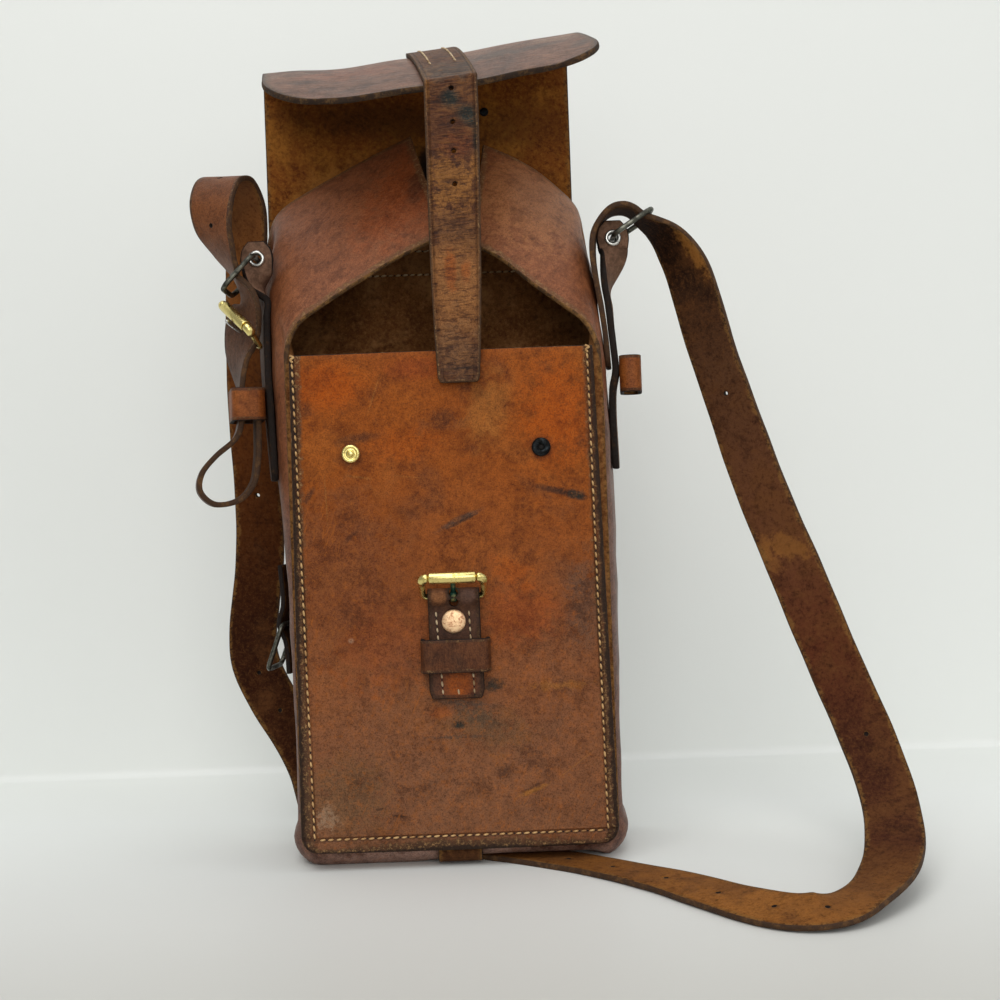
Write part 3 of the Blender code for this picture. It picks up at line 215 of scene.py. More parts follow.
class Tone(Enum):
    """Colours of the marks on the leather, in linear light: tones of wear, and painted shade, shadow,
    sheen and reflection.
    """

    ORANGE = (0.42, 0.078, 0.0)
    GOLD = (0.36, 0.15, 0.03)
    RED = (0.3, 0.055, 0.008)
    RUST = (0.26, 0.055, 0.01)
    TAN = (0.37, 0.15, 0.055)
    OLIVE = (0.12, 0.075, 0.035)
    BROWN = (0.15, 0.05, 0.02)
    WARM = (0.42, 0.175, 0.05)
    FOOT = (0.38, 0.085, 0.006)
    DARK = (0.035, 0.018, 0.012)
    GREY = (0.075, 0.055, 0.042)
    GREEN = (0.016, 0.024, 0.02)
    # Painted shadow: near black, for the shaded gap between the left wing and the strap
    BLACK = (0.004, 0.003, 0.003)
    # Painted sheen: the grey gloss of a surface seen at a grazing angle
    GREY_SHEEN = (0.2, 0.118, 0.095)
    # Painted reflection of the pale floor
    FLOOR_REFLECTION = (0.46, 0.29, 0.23)
    SHADE = (0.035, 0.012, 0.003)
    NAP = (0.32, 0.13, 0.026)
    PALE = (0.42, 0.3, 0.2)
    VERDIGRIS = (0.01, 0.06, 0.04)


@dataclass(frozen=True)
class Mark:
    """One mark of wear, such as a spot, scuff or scratch, or a patch of painted shade, light or
    reflection: an ellipse in X and Z with a ragged edge.

    Fields: the middle's x and z, half length, half width, turn in degrees from +X towards
    +Z, tone, strength at the middle, and how ragged the edge is.
    """

    x: float
    z: float
    length: float
    width: float
    turn: float
    tone: Tone
    strength: float = 0.7
    ragged: float = 0.5


@dataclass(frozen=True)
class Hide:
    """Finish of the grain side of one piece of leather.

    Fields: name, base colour, its dark and its light patches and their strength, roughness
    and gloss, colour, width and strength of the worn border, golden fuzz on that border,
    dark burnish at its very edge, strength of the creases with their painted shade and light,
    how far they are drawn out along each axis and their turn, strength of the scratches,
    the marks of wear and of painted shade, light and reflection, the colour and the heights
    of a lower zone, and colours at distances along a strap.
    """

    name: str
    base: Colour
    dark: Colour
    light: Colour
    patches: float = 0.8
    rough: float = 0.5
    gloss: float = 0.2
    border: Colour = (0.045, 0.02, 0.01)
    border_width: float = 0.004
    border_strength: float = 0.8
    fuzz: float = 0.3
    burnish: float = 0.0
    creases: float = 0.3
    crease_way: tuple[float, float, float] = (1.0, 1.0, 1.0)
    crease_turn: float = 0.0
    scratches: float = 0.5
    marks: tuple[Mark, ...] = ()
    low: Colour | None = None
    low_span: tuple[float, float] = (0.0, 0.2)
    stations: tuple = ()


@dataclass(frozen=True)
class Flesh:
    """Finish of the flesh side: nap in two colours, its worn edge and its wrinkles, with painted shade in
    their troughs.

    Fields: name, base and light colours, colour of the edge, how far the wrinkles are
    drawn out along each axis, their turn and strength, colours along a strap, and marks,
    some of them painted shade and shadow.
    """

    name: str
    base: Colour
    light: Colour
    edge: Colour = (0.2, 0.095, 0.025)
    wrinkle_way: tuple[float, float, float] = (1.0, 1.0, 1.0)
    wrinkle_turn: float = 0.0
    wrinkles: float = 0.3
    stations: tuple = ()
    marks: tuple[Mark, ...] = ()


@dataclass(frozen=True)
class Rim:
    """Finish of a cut edge: dark burnish, the raw tan that shows through, its share."""

    name: str
    dark: Colour
    raw: Colour
    share: float = 0.5


@dataclass(frozen=True)
class Metal:
    """Finish of a metal: colour, tarnish colour, share of tarnish and roughness."""

    name: str
    bright: Colour
    tarnish: Colour
    share: float = 0.3
    rough: float = 0.25
    mottle: float = 300.0


class Nodes:
    """Short calls that add shader nodes to one material's tree."""

    def __init__(self, name: str) -> None:
        """Make the material and keep its tree, its shader and the Object coordinates.

        Args:
            name: of the material.
        """
        self.material = bpy.data.materials.new(name)
        self.material.use_nodes = True
        self.tree = self.material.node_tree
        self.shader = self.tree.nodes["Principled BSDF"]
        self.place = self.tree.nodes.new("ShaderNodeTexCoord").outputs["Object"]

    def put(self, target: Socket, value: Value) -> None:
        """Link a socket, or set a number or a colour on it.

        Args:
            target: the input.
            value: a socket, a number, or a vector or colour without its alpha.
        """
        if isinstance(value, bpy.types.NodeSocket):
            self.tree.links.new(value, target)
        elif isinstance(value, (int, float)):
            target.default_value = value
        else:
            target.default_value = (*value, 1.0)[:len(target.default_value)]

    def add(self, kind: str, inputs: dict[str | int, Value], **settings: str) -> bpy.types.Node:
        """Add a node.

        Args:
            kind: the node's type, without its first word.
            inputs: what goes into its sockets.
            settings: its own properties.

        Returns:
            The node.
        """
        node = self.tree.nodes.new("ShaderNode" + kind)
        for name, setting in settings.items():
            setattr(node, name, setting)
        for name, value in inputs.items():
            self.put(node.inputs[name], value)
        return node

    def map(self, size: Sequence[float], turn: float, at: Sequence[float] = (0, 0, 0)) -> Socket:
        """Coordinates of a pattern with its own size, turn about Y in degrees, and place."""
        return self.add("Mapping", {"Vector": self.place, "Scale": size, "Location": at,
                                    "Rotation": (0.0, math.radians(turn), 0.0)},
                        vector_type="TEXTURE").outputs["Vector"]

    def noise(self, scale: float, detail: float = 4.0, rough: float = 0.55, warp: float = 0.0,
              source: Socket | None = None) -> Socket:
        """Noise value between 0 and 1, with its scale in features per metre."""
        return self.add("TexNoise", {"Vector": source or self.place, "Scale": scale,
                                     "Detail": detail, "Roughness": rough,
                                     "Distortion": warp}).outputs["Fac"]

    def cells(self, scale: float) -> Socket:
        """Distance to the nearest of scattered points, with its scale per metre."""
        return self.add("TexVoronoi", {"Vector": self.place, "Scale": scale}).outputs["Distance"]

    def math(self, kind: str, one: Value, two: Value = 0.0) -> Socket:
        """One Math node."""
        return self.add("Math", {0: one, 1: two}, operation=kind).outputs[0]

    def times(self, one: Value, two: Value) -> Socket:
        """Product of two values."""
        return self.math("MULTIPLY", one, two)

    def swing(self, value: Socket, size: float) -> Socket:
        """A value less its middle, times a size."""
        return self.times(self.math("SUBTRACT", value, 0.5), size)

    def step(self, value: Socket, low: float, high: float, end: float = 1.0,
             start: float = 0.0) -> Socket:
        """Smooth step of a value from low to high, onto the range from start to end."""
        return self.add("MapRange", {"Value": value, "From Min": low, "From Max": high,
                                     "To Min": start, "To Max": end},
                        interpolation_type="SMOOTHSTEP").outputs["Result"]

    def mix(self, share: Value, one: Value, two: Value, kind: str = "MIX") -> Socket:
        """Mix two colours."""
        return self.add("Mix", {"Factor": share, 6: one, 7: two}, data_type="RGBA",
                        blend_type=kind).outputs[2]

    # Lays real tones, and also the painted shade, light and reflection of marks and creases
    def tint(self, colour: Value, value: Socket, low: float, high: float, strength: float,
              tone: Colour, kind: str = "MIX") -> Socket:
        """Lay a tone on a colour by a smooth step of a value."""
        return self.mix(self.step(value, low, high, strength), colour, tone, kind)

    def shade(self, colour: Value, value: Socket, low: float, high: float, strength: float) -> Socket:
        """Darken a colour by a smooth step of a value."""
        return self.tint(colour, value, low, high, strength, DARKENING, "MULTIPLY")

    def spread(self, value: Socket, stops: Sequence[tuple[float, Colour]]) -> Socket:
        """Colour ramp.

        Args:
            value: where on the ramp, from 0 to 1.
            stops: places and colours.

        Returns:
            The colour.
        """
        node = self.add("ValToRGB", {"Fac": value})
        ramp = node.color_ramp
        while len(ramp.elements) < len(stops):
            ramp.elements.new(0.5)
        for element, (place, colour) in zip(ramp.elements, stops):
            element.position = place
            element.color = (*colour, 1.0)
        return node.outputs["Color"]

    def attribute(self, name: str) -> Socket:
        """Value of a mesh attribute."""
        return self.add("Attribute", {}, attribute_name=name).outputs["Fac"]

    def axis(self, source: Socket, name: str) -> Socket:
        """One coordinate of a vector."""
        return self.add("SeparateXYZ", {0: source}).outputs[name]

    def along(self, stations: Sequence[tuple[float, Colour]]) -> Socket:
        """Colours at distances along a strap, read from the UV map.

        Args:
            stations: distances in metres and colours.

        Returns:
            The colour.
        """
        length = stations[-1][0]
        run = self.axis(self.add("UVMap", {}, uv_map="UVMap").outputs["UV"], "X")
        return self.spread(self.math("DIVIDE", run, length),
                           [(at / length, colour) for at, colour in stations])

    def mark(self, colour: Socket, mark: Mark, rag: Socket) -> Socket:
        """Lay one mark on a colour, of wear or of painted shade, light or reflection: one less the
        squared distance in its ellipse.

        Args:
            colour: what lies below.
            mark: the mark.
            rag: noise that frays its edge.

        Returns:
            The marked colour.
        """
        local = self.map((mark.length * MM, 1.0, mark.width * MM), -mark.turn,
                         (mark.x * MM, 0.0, mark.z * MM))
        length = self.add("VectorMath", {0: local}, operation="LENGTH").outputs["Value"]
        reach = self.math("ADD", length, self.swing(rag, MARK_FRAY * mark.ragged))
        return self.tint(colour, reach, *MARK_EDGE, mark.strength, mark.tone.value)

    def finish(self, colour: Value, rough: Value, heights: Sequence[tuple[Socket, float]] = (),
               gloss: float = 0.5, metallic: float = 0.0) -> Material:
        """Feed the shader.

        Args:
            colour: of the surface.
            rough: its roughness.
            heights: values of the relief, each with its height in metres.
            gloss: specular level.
            metallic: 1 on metal.

        Returns:
            The material.
        """
        for name, value in (("Base Color", colour), ("Roughness", rough),
                            ("Specular IOR Level", gloss), ("Metallic", metallic)):
            self.put(self.shader.inputs[name], value)
        total: Value = 0.0
        for value, metres in heights:
            total = self.math("ADD", self.times(value, metres), total)
        if heights:
            bump = self.add("Bump", {"Strength": 1.0, "Distance": 1.0, "Height": total})
            self.put(self.shader.inputs["Normal"], bump.outputs["Normal"])
        return self.material


# Reach of a mark's ragged edge: how far the noise moves it, and where it fades in
MARK_FRAY = 5.0
MARK_EDGE = (1.15, 0.35)

# Colours that all hides share
# Multiplied in to darken: mottling and dirt, and the painted shade in creases and wrinkles
DARKENING = (0.46, 0.4, 0.36)
FUZZ = (0.33, 0.185, 0.075)
BURNISH = (0.022, 0.012, 0.008)
# Painted shade for the stitch grooves
GROOVE_SHADE = (0.03, 0.012, 0.006)
GRIME = (0.03, 0.02, 0.01)


def hide_material(look: Hide) -> Material:
    """Grain side: patches, freckles, pores, creases with painted shade in their troughs and painted light
    on their crests, scratches, marks, worn borders and painted shade in the stitch grooves.

    Args:
        look: the finish.

    Returns:
        The material.
    """
    nodes = Nodes(look.name)
    colour = nodes.along(look.stations) if look.stations else look.base
    patch = nodes.noise(26.0, 8.0, 0.66, 0.5)
    colour = nodes.tint(colour, patch, 0.5, 0.33, look.patches, look.dark)
    colour = nodes.tint(colour, patch, 0.5, 0.68, look.patches, look.light)
    if look.low is not None:
        wander = nodes.times(nodes.noise(14.0, 5.0, 0.6), 0.1)
        level = nodes.math("ADD", nodes.axis(nodes.place, "Z"), wander)
        foot, top = look.low_span
        colour = nodes.tint(colour, level, top + 0.05, foot + 0.05, 0.85, look.low)
    cloud = nodes.noise(80.0, 7.0, 0.72)
    rag = nodes.noise(170.0, 6.0, 0.75)
    for mark in look.marks:
        colour = nodes.mark(colour, mark, rag)
    colour = nodes.shade(colour, cloud, 0.47, 0.64, 0.55)
    colour = nodes.shade(colour, rag, 0.45, 0.66, 0.4)
    colour = nodes.tint(colour, rag, 0.5, 0.34, 0.3, look.light)
    freckle = nodes.noise(520.0, 6.0, 0.78)
    colour = nodes.shade(colour, freckle, 0.5, 0.66, 0.55)
    colour = nodes.tint(colour, freckle, 0.48, 0.35, 0.45, look.light)
    grain = nodes.noise(1500.0, 4.0, 0.7)
    colour = nodes.shade(colour, grain, 0.46, 0.62, 0.75)
    crease = nodes.noise(330.0, 5.0, 0.66, 1.1, nodes.map(look.crease_way, look.crease_turn))
    # Painted shade in the troughs of the creases and painted light on their crests
    colour = nodes.shade(colour, crease, 0.5, 0.38, 0.7 * look.creases)
    colour = nodes.tint(colour, crease, 0.52, 0.62, 0.3 * look.creases, look.light)
    line = nodes.noise(230.0, 2.0, 0.5, 0.3, nodes.map((1.0, 1.0, 11.0), 24.0))
    rare = nodes.step(nodes.noise(22.0, 2.0), 0.52, 0.66)
    thin = nodes.step(nodes.math("ABSOLUTE", nodes.math("SUBTRACT", line, 0.5)), 0.012, 0.0)
    scratch = nodes.times(nodes.times(thin, rare), look.scratches)
    colour = nodes.mix(scratch, colour, look.light)
    width = look.border_width
    place = nodes.math("ADD", nodes.attribute("edge"), nodes.swing(rag, 1.3 * width))
    band = nodes.step(place, width, 0.55 * width)
    share = nodes.times(nodes.step(cloud, 0.66, 0.42, 1.0, 0.6), look.border_strength)
    colour = nodes.mix(nodes.times(band, share), colour, look.border)
    tuft = nodes.times(nodes.step(freckle, 0.5, 0.6), band)
    colour = nodes.mix(nodes.times(tuft, look.fuzz), colour, FUZZ)
    colour = nodes.tint(colour, place, 0.42 * width, 0.14 * width, look.burnish, BURNISH)
    # Painted shade along the groove of each stitch line
    groove = nodes.step(nodes.math("ABSOLUTE", nodes.attribute("seam")), 0.0015, 0.0005)
    colour = nodes.mix(nodes.times(groove, 0.5), colour, GROOVE_SHADE)
    worn = nodes.math("ADD", nodes.times(cloud, 0.24), nodes.times(freckle, 0.2))
    return nodes.finish(colour, nodes.math("ADD", worn, look.rough - 0.2), [
        (nodes.cells(1150.0), 0.00008), (grain, 0.00012), (crease, 0.0006 * look.creases),
        (nodes.noise(60.0, 3.0, 0.5), 0.0006), (groove, -0.0006), (scratch, -0.00006),
        (freckle, -0.00015), (tuft, 0.00015)], look.gloss)


def flesh_material(look: Flesh) -> Material:
    """Flesh side: napped, dull, with wrinkles that run one way, painted shade in their troughs, and a
    paler worn edge.

    Args:
        look: the finish.

    Returns:
        The material.
    """
    nodes = Nodes(look.name)
    colour = nodes.along(look.stations) if look.stations else look.base
    nap = nodes.noise(900.0, 4.0, 0.75)
    colour = nodes.tint(colour, nodes.noise(30.0, 7.0, 0.66, 0.3), 0.46, 0.66, 0.7, look.light)
    colour = nodes.tint(colour, nap, 0.5, 0.68, 0.45, look.light)
    dirt = nodes.noise(95.0, 7.0, 0.75)
    colour = nodes.shade(colour, dirt, 0.49, 0.64, 0.65)
    freckle = nodes.noise(430.0, 6.0, 0.78)
    colour = nodes.shade(colour, freckle, 0.5, 0.63, 0.75)
    colour = nodes.tint(colour, freckle, 0.48, 0.36, 0.45, look.light)
    wrinkle = nodes.noise(420.0, 5.0, 0.7, 0.9, nodes.map(look.wrinkle_way, look.wrinkle_turn))
    for mark in look.marks:
        colour = nodes.mark(colour, mark, dirt)
    # Painted shade in the troughs of the wrinkles
    colour = nodes.shade(colour, wrinkle, 0.5, 0.36, look.wrinkles)
    place = nodes.math("ADD", nodes.attribute("edge"), nodes.swing(dirt, 0.009))
    soil = nodes.math("ADD", freckle, nodes.times(dirt, 0.5))
    fringe = nodes.tint(look.edge, soil, 0.68, 0.84, 1.0, GRIME)
    colour = nodes.mix(nodes.step(place, 0.0022, 0.0005, 0.6), colour, fringe)
    heights = [(nap, 0.00022), (wrinkle, 0.0006 * look.wrinkles), (dirt, 0.0004)]
    return nodes.finish(colour, 0.85, heights, 0.12)


def rim_material(look: Rim) -> Material:
    """Cut edge: burnished dark, with raw fibres that show where it has worn.

    Args:
        look: the finish.

    Returns:
        The material.
    """
    nodes = Nodes(look.name)
    wear = nodes.noise(200.0, 6.0, 0.75)
    fibre = nodes.noise(1100.0, 3.0, 0.7)
    share = nodes.math("ADD", nodes.times(fibre, 0.45), wear)
    middle = 1.02 - 0.42 * look.share
    colour = nodes.tint(look.dark, share, middle - 0.14, middle + 0.14, 1.0, look.raw)
    colour = nodes.shade(colour, fibre, 0.5, 0.64, 0.5)
    rough = nodes.step(share, 0.4, 0.9, 0.9, 0.5)
    return nodes.finish(colour, rough, [(fibre, 0.0002), (wear, 0.0006)], 0.2)


def metal_material(look: Metal) -> Material:
    """Metal with patches of tarnish and fine handling marks.

    Args:
        look: the finish.

    Returns:
        The material.
    """
    nodes = Nodes(look.name)
    patch = nodes.noise(look.mottle, 4.0, 0.65, 0.5)
    fine = nodes.noise(2200.0, 2.0, 0.5)
    middle = 0.72 - 0.44 * look.share
    tarnish = nodes.step(patch, middle - 0.12, middle + 0.12)
    worn = nodes.math("ADD", nodes.times(tarnish, 0.25), nodes.times(fine, 0.12))
    return nodes.finish(nodes.mix(tarnish, look.bright, look.tarnish),
                        nodes.math("ADD", worn, look.rough - 0.06),
                        [(fine, 0.00001), (patch, 0.00003)], metallic=1.0)


def thread_material(name: str, light: Colour, dark: Colour) -> Material:
    """Waxed linen thread, dirty in places.

    Args:
        name: of the material.
        light: clean colour.
        dark: soiled colour.

    Returns:
        The material.
    """
    nodes = Nodes(name)
    twist = nodes.noise(3000.0, 2.0, 0.6)
    colour = nodes.tint(light, nodes.noise(140.0, 4.0, 0.7), 0.42, 0.66, 1.0, dark)
    colour = nodes.tint(colour, twist, 0.45, 0.65, 0.35, dark)
    return nodes.finish(colour, 0.7, [(twist, 0.00012)])


def hole_shade_material(name: str, colour: Colour, rough: float) -> Material:
    """Painted shade for the inside of a punched hole: nearly black, with the faintest unevenness.

    Args:
        name: of the material.
        colour: its lighter tone.
        rough: its roughness.

    Returns:
        The material.
    """
    nodes = Nodes(name)
    other = tuple(0.94 * c for c in colour)
    return nodes.finish(nodes.mix(nodes.noise(40.0, 3.0), colour, other), rough)


def unit(vectors: Array) -> Array:
    """Scale vectors to length one along the last axis."""
    return vectors / np.maximum(np.linalg.norm(vectors, axis=-1, keepdims=True), 1e-9)


def xyz(x: Array | float, y: Array | float, z: Array | float) -> Array:
    """Points from coordinates of matching shapes, along a new last axis."""
    return np.stack(np.broadcast_arrays(x, y, z), axis=-1)


def distances(path: Array) -> Array:
    """Distance run along a path at each of its points."""
    steps = np.linalg.norm(np.diff(path, axis=0), axis=1)
    return np.concatenate([[0.0], np.cumsum(steps)])


def read_off(places: Array, run: Array, rows: Array) -> Array:
    """Rows between those of a table, at places along its run."""
    return np.stack([np.interp(places, run, rows[:, k]) for k in range(3)], axis=-1)


def quads(here: Array, ahead: Array) -> Array:
    """Faces between rings of point numbers and the rings after them."""
    return np.stack([here, np.roll(here, -1, axis=-1), np.roll(ahead, -1, axis=-1), ahead],
                    axis=-1).reshape(-1, 4)


def smooth_step(share: Array) -> Array:
    """Cubic that rises from 0 to 1 without a kink at either end."""
    return share * share * (3 - 2 * share)


def smooth_rows(rows: Sequence | Array, steps: int) -> Array:
    """Catmull-Rom curve through rows: on each span a cubic whose slopes are half the
    difference of the neighbours.

    Args:
        rows: table of rows, or a grid whose first axis is refined.
        steps: new rows for each old one.

    Returns:
        The refined table or grid, with the last row kept.
    """
    table = np.asarray(rows, float)
    before = np.concatenate([2 * table[:1] - table[1:2], table[:-2]])
    after = np.concatenate([table[2:], 2 * table[-1:] - table[-2:-1]])
    a, b, c, d = (part[:, None] for part in (before, table[:-1], table[1:], after))
    t = (np.arange(steps) / steps).reshape((1, steps) + (1,) * (table.ndim - 1))
    curve = 0.5 * (2 * b + (c - a) * t + (2 * a - 5 * b + 4 * c - d) * t ** 2
                   + (3 * b - a - 3 * c + d) * t ** 3)
    return np.concatenate([curve.reshape(-1, *table.shape[1:]), table[-1:]])


def refine(grid: Array, row_steps: int, column_steps: int) -> Array:
    """Refine a grid of points along both axes with the same cubic."""
    taller = smooth_rows(grid, row_steps)
    return smooth_rows(taller.swapaxes(0, 1), column_steps).swapaxes(0, 1)


def wave(points: Array, length: float, seed: float = 0.0) -> Array:
    """Smooth unevenness between about -1 and 1: a sum of sines of the three coordinates.

    Args:
        points: where to read it.
        length: of one wave.
        seed: shifts the pattern.

    Returns:
        One value for each point.
    """
    k = 2 * math.pi / length
    x, y, z = points[..., 0], points[..., 1], points[..., 2]
    one = np.sin(k * (x + 0.31 * z) + seed) * np.cos(k * (0.83 * z - 0.27 * y) + 1.7 * seed)
    two = np.sin(1.73 * k * (0.6 * x - 0.8 * z + 0.4 * y) + 2.1 + seed)
    return 0.65 * one + 0.35 * two


def surface_normals(mid: Array, closed: bool = False) -> Array:
    """Unit normals of a grid: the cross product of its slopes along rows and columns.

    Args:
        mid: rows by columns by three.
        closed: the last row joins the first.

    Returns:
        A normal for each point of the grid.
    """
    if closed:
        wrapped = np.concatenate([mid[-1:], mid, mid[:1]])
        along = np.gradient(wrapped, axis=0)[1:-1]
    else:
        along = np.gradient(mid, axis=0)
    return unit(np.cross(along, np.gradient(mid, axis=1)))


def new_object(name: str, points: Array, faces: Sequence, materials: Sequence[Material],
               slots: Array | None = None) -> Thing:
    """Make one object from points in millimetres.

    Args:
        name: the piece's name.
        points: one row for each point.
        faces: lists of point numbers.
        materials: the object's materials.
        slots: material number of each face.

    Returns:
        The object, smooth shaded, with its faces pointing outwards.
    """
    mesh = bpy.data.meshes.new(name)
    mesh.from_pydata((np.asarray(points) * MM).tolist(), [], faces)
    for material in materials:
        mesh.materials.append(material)
    if slots is not None:
        mesh.polygons.foreach_set("material_index", np.asarray(slots, np.int32))
    work = bmesh.new()
    work.from_mesh(mesh)
    bmesh.ops.recalc_face_normals(work, faces=work.faces)
    work.to_mesh(mesh)
    work.free()
    mesh.shade_smooth()
    item = bpy.data.objects.new(name, mesh)
    bpy.context.scene.collection.objects.link(item)
    return item


def seat(item: Thing, slot: str, *nodes: str, body: str = "bag") -> None:
    """Let a piece ride on a body and say which solids it stands for.

    Args:
        item: the piece.
        slot: not used.
        nodes: solids that it stands for.
        body: what it moves with.
    """
    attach(item, body)
    if nodes:
        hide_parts(*nodes)
    log.info("%s: %d faces, rides on %s", item.name, len(item.data.polygons), body)


# Rings of a cut edge: their angles, and how far it stands out in half thicknesses
RIM_ANGLES = np.radians([58.0, 24.0, -24.0, -58.0])
RIM_REACH = 0.38
NO_SEAM = 50.0


def perimeter(rows: int, columns: int) -> Array:
    """Point numbers round the border of a grid, in order.

    Args:
        rows: of the grid.
        columns: of the grid.

    Returns:
        The numbers, each once.
    """
    top = np.arange(columns)
    right = np.arange(1, rows) * columns + columns - 1
    bottom = (rows - 1) * columns + np.arange(columns - 2, -1, -1)
    left = np.arange(rows - 2, 0, -1) * columns
    return np.concatenate([top, right, bottom, left])


def border_distances(mid: Array) -> dict[str, Array]:
    """Distance of each grid point from the four borders, measured along the surface.

    Args:
        mid: rows by columns by three.

    Returns:
        A grid of distances for each border.
    """
    down = np.linalg.norm(np.diff(mid, axis=0), axis=-1)
    across = np.linalg.norm(np.diff(mid, axis=1), axis=-1)
    first = np.concatenate([np.zeros((1, mid.shape[1])), np.cumsum(down, axis=0)])
    left = np.concatenate([np.zeros((mid.shape[0], 1)), np.cumsum(across, axis=1)], axis=1)
    return {"first": first, "last": first[-1:] - first, "left": left, "right": left[:, -1:] - left}


def side_distance(mid: Array) -> Array:
    """Distance of each point of a strap's grid from the nearer of its two long edges."""
    distance = border_distances(mid)
    return np.minimum(distance["left"], distance["right"])


def leather(name: str, mid: Array, thickness: float, materials: Sequence[Material],
            flip: bool = False, closed: bool = False, seam: Array | None = None,
            borders: Sequence[str] = ("first", "last", "left", "right")) -> Thing:
    """Wall of leather round a grid of middle points.

    The grain lies half a thickness along the normals and the flesh as far behind. Between
    them the cut edge is part of an ellipse: the border point plus the normal times the
    sine, and the outward direction times a share of the cosine, of the rim's angles.

    Args:
        name: the piece's name.
        mid: rows by columns by three.
        thickness: of the wall.
        materials: of the grain, the flesh and the rim.
        flip: put the grain on the other side.
        closed: the last row joins the first.
        seam: distance of each grid point from its stitch line.
        borders: the borders of the grid that have a worn edge.

    Returns:
        The object, with a UV map in metres and the attributes edge and seam.
    """
    rows, columns = mid.shape[:2]
    normals = surface_normals(mid, closed) * (-1.0 if flip else 1.0)
    half = thickness / 2
    count = rows * columns
    number = np.arange(count).reshape(rows, columns)
    ends = np.concatenate([number, number[:1]]) if closed else number
    cell = np.stack([ends[:-1, :-1], ends[:-1, 1:], ends[1:, 1:], ends[1:, :-1]], axis=-1)
    cell = cell.reshape(-1, 4)
    loops = [number[:, 0], number[:, -1]] if closed else [perimeter(rows, columns)]
    row_of, column_of = np.divmod(np.arange(count), columns)
    inner_row = row_of if closed else np.clip(row_of, 1, rows - 2)
    inner = number[inner_row, np.clip(column_of, 1, columns - 2)]
    flat, flat_normals = mid.reshape(-1, 3), normals.reshape(-1, 3)
    points = [flat + flat_normals * half, flat - flat_normals * half]
    source = [np.arange(count), np.arange(count)]
    faces = [cell, cell + count]
    slots = [np.zeros(len(cell)), np.ones(len(cell))]
    start = 2 * count
    for loop in loops:
        away = flat[loop] - flat[inner[loop]]
        track = unit(np.roll(flat[loop], -1, axis=0) - np.roll(flat[loop], 1, axis=0))
        corner = (row_of[loop] != inner_row[loop]) & (column_of[loop] != column_of[inner[loop]])
        slide = track * np.sum(away * track, axis=-1, keepdims=True)
        away = unit(np.where(corner[:, None], away, away - slide))
        rings = [loop]
        for angle in RIM_ANGLES:
            points.append(flat[loop] + flat_normals[loop] * half * math.sin(angle)
                          + away * half * RIM_REACH * math.cos(angle))
            source.append(loop)
            rings.append(start + np.arange(len(loop)))
            start += len(loop)
        rings.append(loop + count)
        for one, two in zip(rings[:-1], rings[1:]):
            faces.append(quads(one, two))
            slots.append(np.full(len(one), 2))
    item = new_object(name, np.concatenate(points), np.concatenate(faces).tolist(), materials,
                      np.concatenate(slots))
    reach = border_distances(mid)
    borders = ("left", "right") if closed else borders
    edge = np.minimum.reduce([reach[border] for border in borders])
    seam = np.full((rows, columns), NO_SEAM) if seam is None else seam
    source = np.concatenate(source)
    for label, values in (("edge", edge), ("seam", seam)):
        layer = item.data.attributes.new(label, "FLOAT", "POINT")
        layer.data.foreach_set("value", (values.reshape(-1)[source] * MM).astype(np.float32))
    u = reach["first"].mean(axis=1, keepdims=True) + np.zeros((1, columns))
    v = reach["left"].mean(axis=0, keepdims=True) + np.zeros((rows, 1))
    uv = (np.stack([u, v], axis=-1).reshape(-1, 2)[source] * MM).astype(np.float32)
    corners = np.zeros(len(item.data.loops), np.int32)
    item.data.loops.foreach_get("vertex_index", corners)
    layer = item.data.uv_layers.new(name="UVMap")
    layer.data.foreach_set("uv", uv[corners].ravel())
    return item


def tube(path: Array, up: Array, radius: Array | float, sides: int, closed: bool) -> Shape:
    """Round rod along a path: each point plus the radius times the cosine and sine along
    the two directions across the path.

    Args:
        path: points of the middle line.
        up: one direction, or one for each point, across the path.
        radius: one value, or one for each point.
        sides: points round the rod.
        closed: the path's end joins its start; otherwise both ends are capped.

    Returns:
        Points and faces.
    """
    path = np.asarray(path, float)
    if closed:
        along = unit(np.roll(path, -1, axis=0) - np.roll(path, 1, axis=0))
    else:
        along = unit(np.gradient(path, axis=0))
    out = unit(np.cross(along, np.broadcast_to(up, path.shape)))
    rise = np.cross(out, along)
    angle = np.arange(sides) * 2 * math.pi / sides
    size = np.broadcast_to(radius, (len(path),))[:, None, None]
    ring = out[:, None] * np.cos(angle)[:, None] + rise[:, None] * np.sin(angle)[:, None]
    points = (path[:, None] + size * ring).reshape(-1, 3)
    number = np.arange(len(points)).reshape(len(path), sides)
    ahead = np.roll(number, -1, axis=0) if closed else number[1:]
    here = number if closed else number[:-1]
    faces = quads(here, ahead).tolist()
    if not closed:
        faces += [number[0].tolist(), number[-1][::-1].tolist()]
    return points, faces


